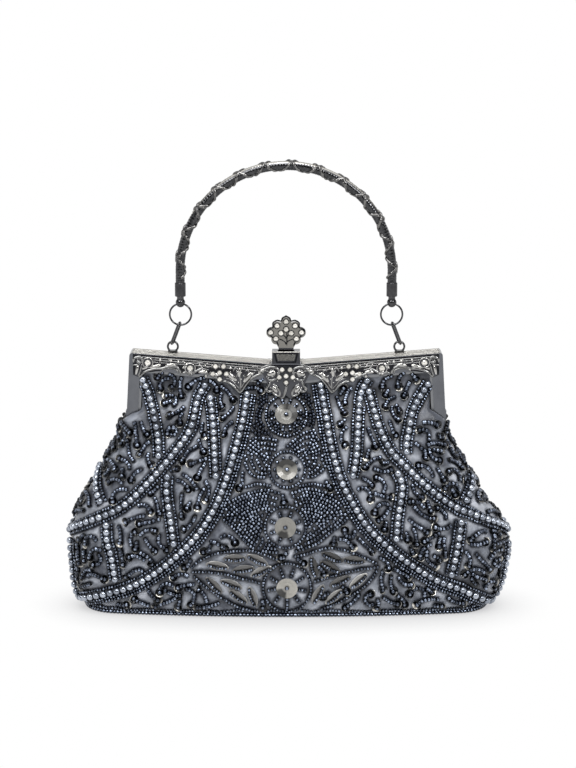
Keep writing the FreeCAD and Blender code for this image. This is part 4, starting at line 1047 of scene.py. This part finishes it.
line = evenSteps(ovalLine(0, piping["height"]), piping["lineStep"])
verts, faces = tube(line, piping["thread"], piping["threadSides"], up=upward, loop=True)
cord = newPiece("bottomPiping", verts, faces, "pipingRayonTwisted")
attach(cord, "rear_half")
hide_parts("bottom_piping")
line = evenSteps(np.vstack([line, line[:1]]), piping["beadStep"])[:-1]
ways = unit(np.roll(line, -1, 0) - np.roll(line, 1, 0))
outward = unit(np.cross(ways, upward))
outward = outward * np.sign(np.sum(outward * line, -1, keepdims=True)) + piping["beadLean"] * upward
size = [piping["beadRadius"], piping["beadRadius"], piping["beadLength"]]
strung = scattered("pipingBeads", seedForm, line, ways, outward, size, "seedBeadLustreGlass",
                   chance.uniform(*beads["tones"], len(line)), shade=seedShade)
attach(strung, "rear_half")
rim = ovalLine(base["inset"], base["height"])
rings = [rim * np.array([share, share, 1]) + base["rise"] * (1 - share) * upward for share in base["shares"]]
rings += [ring + base["sheet"] * upward for ring in rings[::-1]]
verts = np.vstack(rings)
baseCloth = newPiece("baseCloth", verts, gridQuads(len(rings), len(rim), True, True), "satinSlateWoven",
                     tone=np.ones(len(verts)))
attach(baseCloth, "rear_half")
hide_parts("base_panel")
print("base and piping laid")

# top of the bar, a shallow V
bar = {"midHeight": 144.8, "endHeight": 151.2, "midFlat": 10.0, "halfWidth": 89.5}


def barTop(x):
    past = max(0.0, abs(x) - bar["midFlat"]) / (bar["halfWidth"] - bar["midFlat"])
    return bar["midHeight"] + (bar["endHeight"] - bar["midHeight"]) * past


# stamped relief on the frieze, as listed lines of the photograph, left half
relief = {
    "wire": 0.82, "fine": 0.52, "front": -9.45, "flat": 0.9, "step": 0.5, "tip": 0.45, "tipGain": 0.18,
    "thick": {
        "vine": [(138.9, 377.6), (143.5, 372.7), (148.7, 370.2), (155.6, 368.8), (161.3, 368.5),
                 (169.4, 366.5), (176.3, 367), (179.7, 370.2), (180.6, 374.2)],
        "scallop": [(181, 373.5), (186, 372.6), (191.2, 374.6), (195.8, 371.3), (200.4, 369.6),
                    (204.4, 372.7), (208.4, 374.5), (213, 376), (222.8, 381.1)],
        "pointLeft": [(222.8, 381.1), (227.9, 382.2), (233.1, 385.7), (237.1, 389.7), (240.1, 393.4)],
        "pointRight": [(240.1, 393.4), (242.8, 389.1), (246.3, 384), (250.9, 378.8), (256.6, 375.4),
                       (262.4, 373.4)],
        "wingUpper": [(262.4, 373.4), (264.1, 369.6), (269.3, 367.3), (276.1, 367.9), (279, 371.3),
                      (276.4, 378.2), (270.6, 380.5), (266.4, 375.9)],
        "wingCurl": [(270.6, 381.1), (268.1, 386.3), (265.8, 388.8), (268.1, 391.7), (271.6, 390.8),
                     (272.5, 387.6)],
        "wingLower": [(272.7, 384), (277.3, 387.4), (279.8, 392.6), (279.1, 396.2), (275, 394.5),
                      (271.8, 390.8)],
        "cornerScroll": [(133.5, 362.6), (134, 358.6), (137.5, 357), (141.2, 357.4), (142.4, 360),
                         (140.1, 362.6), (137.4, 361.8), (138.1, 359.8)],
    },
    "thin": {
        "cornerBar": [(132.6, 365), (140, 364.7)],
        "cornerLeaf": [(141.8, 364.4), (140.4, 370.2), (138.4, 376.5)],
        "cornerVein": [(136.5, 365), (136.6, 370), (135.5, 375)],
        "leafArc": [(159.6, 373.8), (162.7, 369.9), (170.5, 368.2), (177.4, 370.5), (178, 374)],
        "hookA": [(153.9, 366.5), (157.9, 364.4), (160.2, 360.4)],
        "hookB": [(165.9, 366.2), (169.4, 363.9), (171, 361)],
        "hookC": [(175, 366.2), (177.4, 364.4), (178.3, 362)],
        "ribbonA": [(196.9, 362.8), (202, 363.2), (207.3, 364.7)],
        "ribbonB": [(197.5, 365.6), (203, 366), (209, 367.3)],
        "ribbonC": [(198, 368.3), (203, 368.9), (209, 370)],
        "ribbonD": [(181.5, 361.5), (184.5, 363.5), (184.5, 369.5)],
        "innerLeft": [(226, 378), (230.2, 379.4), (234.8, 383), (239.4, 388.6)],
        "innerRight": [(240.6, 388.6), (244.6, 381.7), (248.6, 376.5), (255, 372.5)],
        "vein": [(240.1, 389.7), (240.6, 382.8), (239.4, 375.9), (236, 370.2)],
        "curlA": [(244.6, 371.3), (247.7, 370.2), (249.2, 373.6), (246.1, 377.1), (242.8, 375)],
        "curlB": [(233.1, 371.9), (234.8, 368.1), (238.3, 369.6), (237.3, 375.4), (234.8, 377.6)],
        "wingInner": [(268.1, 371.6), (272.7, 370.2), (275, 373.3), (272.7, 376.5), (269.3, 375.4)],
        "wingTie": [(258, 371), (262, 368), (266, 365.8), (272, 364.8)],
        "bridge": [(250, 368), (254, 366.5), (258, 367.5), (256, 370.5), (252.5, 370)],
    },
    "buds": [(160.2, 360), (171, 360.8), (178.3, 361.9), (266.5, 388.9), (206, 376.5), (230.5, 368),
             (252, 374)],
    "budRadius": 0.85, "budFlat": 0.8,
    "stem": [(286.5, 384), (285.9, 389.7), (284.2, 394.9), (281.3, 399.8)], "stemGain": 1.2,
    # leaf lobes: middle, half length and half width in pixels, turn in degrees
    "lobes": [((231.5, 376.5), 7.0, 2.6, -42), ((247.5, 377.5), 6.5, 2.4, 52), ((239.5, 372.5), 5.0, 1.8, 85),
              ((155.5, 366.3), 6.0, 1.9, 12), ((170.5, 365.0), 5.5, 1.9, 4), ((146.0, 367.0), 4.5, 1.9, 30),
              ((203.0, 372.0), 5.0, 1.9, 0), ((190.5, 371.6), 4.0, 1.7, 10), ((215.0, 374.0), 5.0, 1.8, -22),
              ((271.5, 373.5), 4.6, 2.8, 20), ((275.0, 389.5), 4.2, 2.2, -60), ((262.0, 370.5), 4.6, 1.7, 28),
              ((137.0, 370.0), 5.0, 1.6, 78), ((186.0, 366.0), 3.2, 1.6, 70)], "lobeRise": 0.9,
    # ribs under the bar as drops from its top, and fine grains strewn over the plate
    "ribs": [1.5, 2.8, 4.1], "ribWire": 0.32, "ribFrom": 9.5, "ribTo": 86.0, "ribSteps": 50,
    "grains": 90, "grainAcross": (3, 86), "grainDrop": (1.5, 19), "grainRadius": (0.3, 0.5),
    "grainClear": 0.8,
}


def reliefWire(pixels, radius, plane):
    line = curveThrough([onPlane(pixel, plane) for pixel in pixels], relief["step"])
    marks = np.arange(len(line))
    taper = np.minimum(1, relief["tip"] + np.minimum(marks, marks[::-1]) * relief["tipGain"])
    return tube(line, radius * taper, flat=relief["flat"])


def bud(middle, radius):
    points, quads = pearlForm[:2]
    return points * radius * np.array([1, relief["budFlat"], 1]) + middle, quads.tolist()


parts = []
for kind, radius in (("thick", relief["wire"]), ("thin", relief["fine"])):
    for pixels in relief[kind].values():
        addPair(parts, *reliefWire(pixels, radius, relief["front"]))
for pixel in relief["buds"]:
    addPair(parts, *bud(onPlane(pixel, relief["front"]), relief["budRadius"]))
points, quads = pearlForm[:2]
for pixel, halfLong, halfWide, turn in relief["lobes"]:
    turn = math.radians(turn)
    along = np.array([math.cos(turn), -math.sin(turn)]) * halfLong
    across = np.array([math.sin(turn), math.cos(turn)]) * halfWide
    middle, end, side = (onPlane(np.array(pixel) + out, relief["front"])
                         for out in (0 * along, along, across))
    verts = (middle + points[:, 2:] * (end - middle) + points[:, :1] * (side - middle)
             + points[:, 1:2] * np.array([0, relief["lobeRise"], 0]))
    addPair(parts, verts, quads.tolist())
parts.append(reliefWire(relief["stem"], relief["wire"] * relief["stemGain"], relief["front"]))
for drop in relief["ribs"]:
    line = [[x, relief["front"], barTop(x) - drop]
            for x in np.linspace(relief["ribFrom"], relief["ribTo"], relief["ribSteps"])]
    addPair(parts, *tube(line, relief["ribWire"]))
for k in range(relief["grains"]):
    x, drop = chance.uniform(*relief["grainAcross"]), chance.uniform(*relief["grainDrop"])
    place = np.array([x, relief["front"], barTop(x) - drop])
    foot = friezeFoot(x)
    if foot is not None and place[2] >= foot + relief["grainClear"]:
        addPair(parts, *bud(place, chance.uniform(*relief["grainRadius"])))
verts, faces = joined(parts)
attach(newPiece("frontFriezeRelief", verts, faces, "blackNickelEmbossed"), "front_half")
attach(newPiece("rearFriezeRelief", mirrorY(verts), turned(faces), "blackNickelEmbossed"), "rear_half")
print("frieze relief set")

# cut stones in small cups, on the seats that the frieze and the fan have
# single and flower give the place along the bar and the drop from its top
stones = {
    "single": [(79.0, 4.6), (54.8, 5.9)], "singleRadius": 1.9,
    "flower": [(0.0, 6.9), (38.0, 7.2), (-38.0, 7.2)], "flowerRadius": 1.5, "petal": 3.7,
    "petals": [(0.0, 0.0), (-0.62, 1.0), (0.62, 1.0), (-1.05, -0.19), (1.05, -0.19), (0.0, -1.03)],
    "seat": -9.5, "fanSeat": -6.0, "fanRadius": 1.58, "fanHalfWidth": 11.2, "fanBase": 151.8,
    "fanHeight": 19.6,
    "fan": [(0.0, 0.87), (0.46, 0.75), (0.79, 0.55), (0.0, 0.645), (0.26, 0.53), (0.52, 0.365)],
    "sides": 8, "facetUp": (0.1, 0, 1.0), "facetShade": 0.55, "tableReach": 0.6, "ringFrom": 1.6,
    # wires round a stone of radius 1: middle as radius and height, half width and height, sides
    "cup": ((1.08, 0.16), (0.13, 0.26), 20), "ring": ((1.5, 0.1), (0.16, 0.2), 28), "wireSides": 8,
}
stonePlaces, stoneSizes, fanPlaces = [], [], []
for x, drop in stones["single"]:
    for side in (-1, 1):
        stonePlaces.append([side * x, stones["seat"], barTop(x) - drop])
        stoneSizes.append(stones["singleRadius"])
for x, drop in stones["flower"]:
    for across, up in stones["petals"]:
        stonePlaces.append([x + across * stones["petal"], stones["seat"],
                            barTop(x) - drop + up * stones["petal"]])
        stoneSizes.append(stones["flowerRadius"])
for across, up in stones["fan"]:
    for side in ((-1, 1) if across else (1,)):
        fanPlaces.append([side * across * stones["fanHalfWidth"], stones["fanSeat"],
                          stones["fanBase"] + up * stones["fanHeight"]])
stoneProfile = [(0.02, 0.8), (0.5, 0.74), (0.86, 0.48), (1.0, 0.16), (0.97, -0.02), (0.02, -0.02)]
stoneForm = revolved(stoneProfile, stones["sides"])
# painted shade: every second facet round the flat table is darker
facet = np.repeat(np.arange(stones["sides"]) % 2, len(stoneProfile))
aroundTable = np.hypot(stoneForm[0][:, 0], stoneForm[0][:, 1]) > stones["tableReach"]
stoneShade = 1 - stones["facetShade"] * facet * aroundTable


def wireRound(middle, halves, sides):
    return revolved([(middle[0] + halves[0] * math.cos(a), middle[1] + halves[1] * math.sin(a))
                     for a in fullTurn(stones["wireSides"])], sides)


cupRing = wireRound(*stones["cup"])
ringForm = wireRound(*stones["ring"])


def setStones(name, places, sizes, body, node, back=False):
    places, sizes = np.array(places), np.array(sizes)
    if back:
        places = mirrorY(places)
    facing = np.tile([0, 1.0 if back else -1.0, 0], (len(places), 1))
    ups = np.tile(stones["facetUp"], (len(places), 1))
    scale = np.repeat(sizes[:, None], 3, 1)
    tones = chance.uniform(*beads["tones"], len(places))
    gems = scattered(name, stoneForm, places, facing, ups, scale, "crystalFoilBackedCut", tones, False,
                     stoneShade)
    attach(gems, body)
    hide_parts(node)
    # cups and rings get no painted highlight, so their tone is 0
    cups = scattered(name + "Cups", cupRing, places, facing, ups, scale, "blackNickelOxidised", 0 * tones)
    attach(cups, body)
    large = sizes > stones["ringFrom"]
    if large.any():
        rings = scattered(name + "Rings", ringForm, places[large], facing[large], ups[large], scale[large],
                          "blackNickelEmbossed", 0 * tones[large])
        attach(rings, body)


setStones("frontStones", stonePlaces, stoneSizes, "front_half", "front_stones")
setStones("rearStones", stonePlaces, stoneSizes, "rear_half", "rear_stones", True)
setStones("fanStones", fanPlaces, [stones["fanRadius"]] * len(fanPlaces), "clasp", "fan_stones")
print("stones set:", len(stonePlaces) * 2 + len(fanPlaces))

# fan of the clasp: rim line, stem and branches on its front, clear of the box when it tilts
fan = {
    "front": -6.0, "rim": 0.42, "line": 0.34, "step": 0.4, "flat": 0.8,
    "edge": [(278.3, 345.6), (277, 342.4), (273.3, 338.2), (269.1, 334), (267.5, 330.3), (270.3, 328.2),
             (273.1, 327.4), (273, 323), (277, 320.4), (281.2, 321), (282.6, 317.9), (286.9, 315.8)],
    "branches": [[(286.9, 344.2), (283.6, 340.9), (279.4, 339)],
                 [(286.9, 338.5), (284.4, 336), (282, 333.6)]],
    "stem": [(286.9, 345.6), (286.9, 331)],
}
parts = []
for pixels, radius in [(fan["edge"], fan["rim"])] + [(branch, fan["line"]) for branch in fan["branches"]]:
    line = curveThrough([onPlane(pixel, fan["front"]) for pixel in pixels], fan["step"])
    addPair(parts, *tube(line, radius, flat=fan["flat"]))
parts.append(reliefWire(fan["stem"], fan["line"], fan["front"]))
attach(newPiece("fanRelief", *joined(parts), "blackNickelOxidised"), "clasp")

# clasp box: grained panel in a raised border on its front, and a lip over it
panel = {"half": 5.3, "flare": 0.5, "low": 146.5, "high": 150.4, "front": -8.0, "rows": 22, "columns": 56,
         "rise": 0.12, "grain": 0.22, "sink": 0.05, "back": 0.1, "rimShare": 0.15,
         "grainAcross": 34, "acrossSway": 3, "swayUp": 9, "grainUp": 15, "upSway": 2, "swayAcross": 21}
border = {"corners": [(-5.3, 145.8), (5.3, 145.8), (6.5, 150.9), (-6.5, 150.9)], "wire": 0.5, "sideSteps": 12,
          "proud": 0.05}
lip = {"half": 8.0, "height": 151.55, "wire": 0.36, "proud": 0.1, "steps": 30}
across, up = np.meshgrid(np.linspace(-1, 1, panel["columns"]), np.linspace(-1, 1, panel["rows"]))
inward = ease(np.minimum(1 - np.abs(across), 1 - np.abs(up)), 0, panel["rimShare"])
acrossSway = panel["acrossSway"] * np.sin(up * panel["swayUp"])
upSway = panel["upSway"] * np.sin(across * panel["swayAcross"])
lump = (np.sin(across * panel["grainAcross"] + acrossSway) * np.sin(up * panel["grainUp"] + upSway) + 1) / 2
deep = panel["front"] - inward * (panel["rise"] + panel["grain"] * lump) + panel["sink"]
middle, span = (panel["low"] + panel["high"]) / 2, (panel["high"] - panel["low"]) / 2
grid = np.stack([across * (panel["half"] + panel["flare"] * up), deep, middle + up * span], -1)
back = grid.copy()
back[..., 1] = panel["front"] + panel["back"]
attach(newPiece("claspPanel", *closedSheet(grid, back), "blackNickelSatin"), "front_half")
corners = np.array(border["corners"])
shares = np.linspace(0, 1, border["sideSteps"], endpoint=False)[None, :, None]
frameLine = (corners[:, None] + (np.roll(corners, -1, 0) - corners)[:, None] * shares).reshape(-1, 2)
line = np.insert(frameLine, 1, panel["front"] - border["proud"], axis=1)
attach(newPiece("claspBorder", *tube(line, border["wire"], loop=True), "blackNickelOxidised"), "front_half")
# the lip's pale colour is a painted highlight along the top edge
line = [[x, panel["front"] - lip["proud"], lip["height"]]
        for x in np.linspace(-lip["half"], lip["half"], lip["steps"])]
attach(newPiece("claspLip", *tube(line, lip["wire"]), "blackNickelRubbed"), "front_half")

# rolled beads along the top of the bar, two on each half, as depth and half depth
ridge = {"places": [(2.0, 1.65), (5.9, 1.75)], "rise": 0.12, "proud": 0.02, "reach": 88.2, "steps": 60,
         "sides": 10, "frontStart": 8.6, "rearStart": 2.5}
# the pale colour of these beads is a painted highlight on the top of the bar
for side, sign in (("front", -1), ("rear", 1)):
    parts = []
    for depth, halfDepth in ridge["places"]:
        for half in (-1, 1):
            xs = np.linspace(ridge[side + "Start"], ridge["reach"], ridge["steps"]) * half
            line = [[x, sign * depth, barTop(x) + ridge["proud"]] for x in xs]
            parts.append(tube(line, halfDepth, ridge["sides"], ridge["rise"], up=upward))
    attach(newPiece(side + "BarBeads", *joined(parts), "blackNickelGround"), side + "_half")
print("clasp and bar details set")

# handle: pressed scales under a vine that winds both ways, with small leaves
handle = {"radius": 60.7, "foot": 190.07, "sink": 0.3, "leg": 6.2, "depth": 4.0, "tube": 2.55, "around": 40,
          "stepMm": 0.375, "legSteps": 14, "arcSteps": 240,
          "scale": 0.13, "scaleMm": 1.6, "scalesRound": 8, "lobe": 0.35, "lobeDrop": 0.2,
          # painted highlight along the upper outer side of the arch, where light from above falls
          "paintedHighlightRound": (0.4, 0.9), "paintedHighlightUp": (0.15, 0.75)}
vine = {"wire": 0.8, "out": 2.8, "flat": 0.85, "turnMm": 15.0, "start": 0.6, "wobble": 0.1, "wobbleRate": 1.3,
        "swell": 0.18, "swellRate": 2.2, "clear": 8, "leafClear": 24, "leafEvery": 17, "leafTurn": 0.5,
        "leafSlope": 0.7, "leafHalves": (1.25, 0.55, 0.4)}
arcStart = handle["foot"] + handle["leg"]
tubeFoot = handle["foot"] - handle["sink"]
way = [[-handle["radius"], z] for z in np.linspace(tubeFoot, arcStart, handle["legSteps"], endpoint=False)]
way += [[-handle["radius"] * math.cos(a), arcStart + handle["radius"] * math.sin(a)]
        for a in np.linspace(0, math.pi, handle["arcSteps"])]
way += [[handle["radius"], z] for z in np.linspace(arcStart, tubeFoot, handle["legSteps"])[1:]]
middle = evenSteps(np.insert(np.array(way), 1, handle["depth"], axis=1), handle["stepMm"])
along = unit(np.gradient(middle, axis=0))
front = np.tile([0, -1.0, 0], (len(middle), 1))
outward = np.cross(front, along)
run = np.arange(len(middle)) * handle["stepMm"]


def aroundHandle(turn, at=slice(None)):
    # direction from the middle of the tube, 0 outward and a quarter turn to the front
    return np.cos(turn)[..., None] * outward[at] + np.sin(turn)[..., None] * front[at]


turn = fullTurn(handle["around"])
rows = run[:, None] / handle["scaleMm"]
columns = turn[None, :] * handle["scalesRound"] / (2 * math.pi)
lobe = np.abs((columns + 0.5 * (np.floor(rows) % 2)) % 1 - 0.5) * 2
rise = np.clip(rows % 1 + handle["lobe"] * (1 - lobe ** 2) - handle["lobeDrop"], 0, 1)
radius = handle["tube"] + handle["scale"] * rise
sweep = np.cos(turn)[None, :, None] * outward[:, None] + np.sin(turn)[None, :, None] * front[:, None]
verts = (middle[:, None] + radius[..., None] * sweep).reshape(-1, 3)
count, around = len(middle), handle["around"]
faces = gridQuads(count, around, False, True, True).tolist()
faces += [list(range(around)), list(range((count - 1) * around, count * around))[::-1]]
# painted highlight: lighter along the upper outer side of the arch
paintedHighlightRound = ease(np.cos(turn), *handle["paintedHighlightRound"])
paintedHighlightUp = ease(outward[:, 2], *handle["paintedHighlightUp"])
edgeWearAndPaintedTop = paintedHighlightRound[None, :] * paintedHighlightUp[:, None]
grip = newPiece("handleTube", verts, faces, "blackNickelScaled", tone=edgeWearAndPaintedTop.ravel())
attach(grip, "handle")
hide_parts("handle_tube")
parts = []
inside = slice(vine["clear"], count - vine["clear"])
points, quads = pearlForm[:2]
for sign in (-1, 1):
    spin = sign * 2 * math.pi * run / vine["turnMm"] + vine["start"]
    ups = aroundHandle(spin)
    line = middle + (vine["out"] + vine["wobble"] * np.sin(run * vine["wobbleRate"]))[:, None] * ups
    wire = vine["wire"] * (1 + vine["swell"] * np.sin(run * vine["swellRate"]))
    parts.append(tube(line[inside], wire[inside], flat=vine["flat"], up=ups[inside]))
    for k in range(vine["leafClear"], count - vine["leafClear"], vine["leafEvery"]):
        out = aroundHandle(spin[k] + vine["leafTurn"] * sign, k)
        slope = unit(along[k] + vine["leafSlope"] * sign * np.cross(along[k], out))
        axes = np.array([slope, np.cross(slope, out), out]) * np.array(vine["leafHalves"])[:, None]
        parts.append((middle[k] + out * vine["out"] + points @ axes, quads.tolist()))
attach(newPiece("handleVine", *joined(parts), "blackNickelChased"), "handle")
print("handle dressed")

# pocket on the rear lining; seamRun is the cloth from the middle to the seam
pocket = {"half": 55.0, "seamRun": 135.0, "low": 38.0, "high": 86.0, "inset": 3.0, "sheet": 0.4, "rows": 24,
          "columns": 40, "sag": 1.2, "sagFrom": 60.0}
up, across = np.meshgrid(np.linspace(pocket["low"], pocket["high"], pocket["rows"]),
                         np.linspace(-1, 1, pocket["columns"]), indexing="ij")
grid = frontPoint(across * pocket["half"] / pocket["seamRun"], up)
sag = (pocket["sag"] * ease(up, pocket["sagFrom"], pocket["high"]) * (1 - across ** 2))[..., None]
outer, inner = (grid - gridNormals(grid) * (inset + sag)
                for inset in (pocket["inset"], pocket["inset"] + pocket["sheet"]))
verts, faces = closedSheet(outer, inner)
patch = newPiece("innerPocket", mirrorY(verts), faces[:, ::-1], "liningTaffetaWoven")
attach(patch, "rear_half")
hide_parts("inner_pocket")
print("pocket sewn on the rear lining")

# metal of the frame, chain, clasp and handle takes its finish on the CAD pieces
solidFinishes = {
    "blackNickelSatin": ["fan_plate"],
    "blackNickelPolished": ["front_frame", "rear_frame", "left_hinge_rivet", "right_hinge_rivet",
                            "clasp_pin"],
    "blackNickelStamped": ["front_frieze", "rear_frieze"],
    "blackNickelOxidised": ["clasp_box", "clasp_lever"],
    "blackNickelTurned": ["left_ferrule", "right_ferrule", "left_ball_end", "right_ball_end"],
    "blackNickelWireDrawn": ["left_lug", "right_lug", "left_link", "right_link", "left_ring", "right_ring"],
    "springSteelRolled": ["front_clamp_strip", "rear_clamp_strip", "latch_tongue", "lever_spring"],
    "baseBoardPressedFibre": ["base_board"],
}
for material, names in solidFinishes.items():
    for name in names:
        mesh = nodes[name].data
        mesh.materials.clear()
        mesh.materials.append(finish[material])
print("finishes on the metal")

# plain pale floor: white to the eye and in reflections, with a painted shadow from ambient occlusion under
# the part
stage = {"half": 3000.0, "height": -0.1, "shadowReach": 50.0, "shadow": "#b9b9bb", "paint": "#f0f0f0"}
finish["floorPaintMatt"], tree = newMaterial("floorPaintMatt")
rays = addNode(tree, "LightPath")
seenRay = addNode(tree, "Math", {"operation": "MAXIMUM"},
                  {0: (rays, "Is Camera Ray"), 1: (rays, "Is Glossy Ray")})
seenRay = addNode(tree, "Math", {"operation": "MAXIMUM"}, {0: seenRay, 1: (rays, "Is Transmission Ray")})
contact = addNode(tree, "AmbientOcclusion", {"Distance": stage["shadowReach"] * mm, "samples": 8})
shade = addNode(tree, "ValToRGB", {"stops": [(0.0, stage["shadow"]), (0.85, "#ffffff")]},
                {"Fac": (contact, "AO")})
paper = addNode(tree, "Emission", {"Strength": 1.0}, {"Color": shade})
matt = addNode(tree, "BsdfDiffuse", {"Color": linear(stage["paint"])})
both = addNode(tree, "MixShader", links={"Fac": seenRay, 1: matt, 2: paper})
addNode(tree, "OutputMaterial", links={"Surface": both})
corners = [[x * stage["half"], y * stage["half"], stage["height"]]
           for x, y in ((-1, -1), (1, -1), (1, 1), (-1, 1))]
newPiece("floor", corners, [[0, 1, 2, 3]], "floorPaintMatt")

# soft lamps: place, width and watts
lamps = {
    "keyLamp": ((-450, -900, 1000), 650, 8.0),
    "fillLamp": ((650, -900, 800), 300, 5.0),
    "topLamp": ((0, -300, 1300), 500, 5.0),
}
lampAim = Vector((0, 0, 110))
for name, (place, width, watts) in lamps.items():
    lamp = bpy.data.lights.new(name, "AREA")
    lamp.size = width * mm
    lamp.energy = watts
    holder = bpy.data.objects.new(name, lamp)
    holder.location = Vector(place) * mm
    holder.rotation_euler = (lampAim - Vector(place)).to_track_quat("-Z", "Y").to_euler()
    scene.collection.objects.link(holder)
scene.world = bpy.data.worlds.new("studio")
scene.world.use_nodes = True
tree = scene.world.node_tree
tree.nodes.clear()
sides = addNode(tree, "SeparateXYZ", links={"Vector": (addNode(tree, "TexCoord"), "Generated")})
# white round the horizon, dim above it so that beads keep their contrast, pale ceiling
glow = addNode(tree, "ValToRGB", {"stops": [(0.0, "#ffffff"), (0.23, "#ffffff"), (0.34, "#4e4f51"),
               (0.5, "#56575a"), (0.72, "#f4f4f4"), (1.0, "#ffffff")]}, {"Fac": (sides, "Z")})
# the room in front of the table is unlit
room = addNode(tree, "ValToRGB", {"stops": [(0.0, "#ffffff"), (0.04, "#242527"), (0.5, "#3c3d40"),
               (0.72, "#f4f4f4"), (1.0, "#ffffff")]}, {"Fac": (sides, "Z")})
toRoom = addNode(tree, "MapRange", {"From Min": -0.4, "From Max": -0.7}, {"Value": (sides, "Y")})
studio = addNode(tree, "Mix", {"data_type": "RGBA"}, {"Factor": toRoom, 6: glow, 7: room})
sky = addNode(tree, "Background", {"Strength": 1.0}, {"Color": (studio, 2)})
addNode(tree, "OutputWorld", links={"Surface": sky})
print("floor and lamps placed")
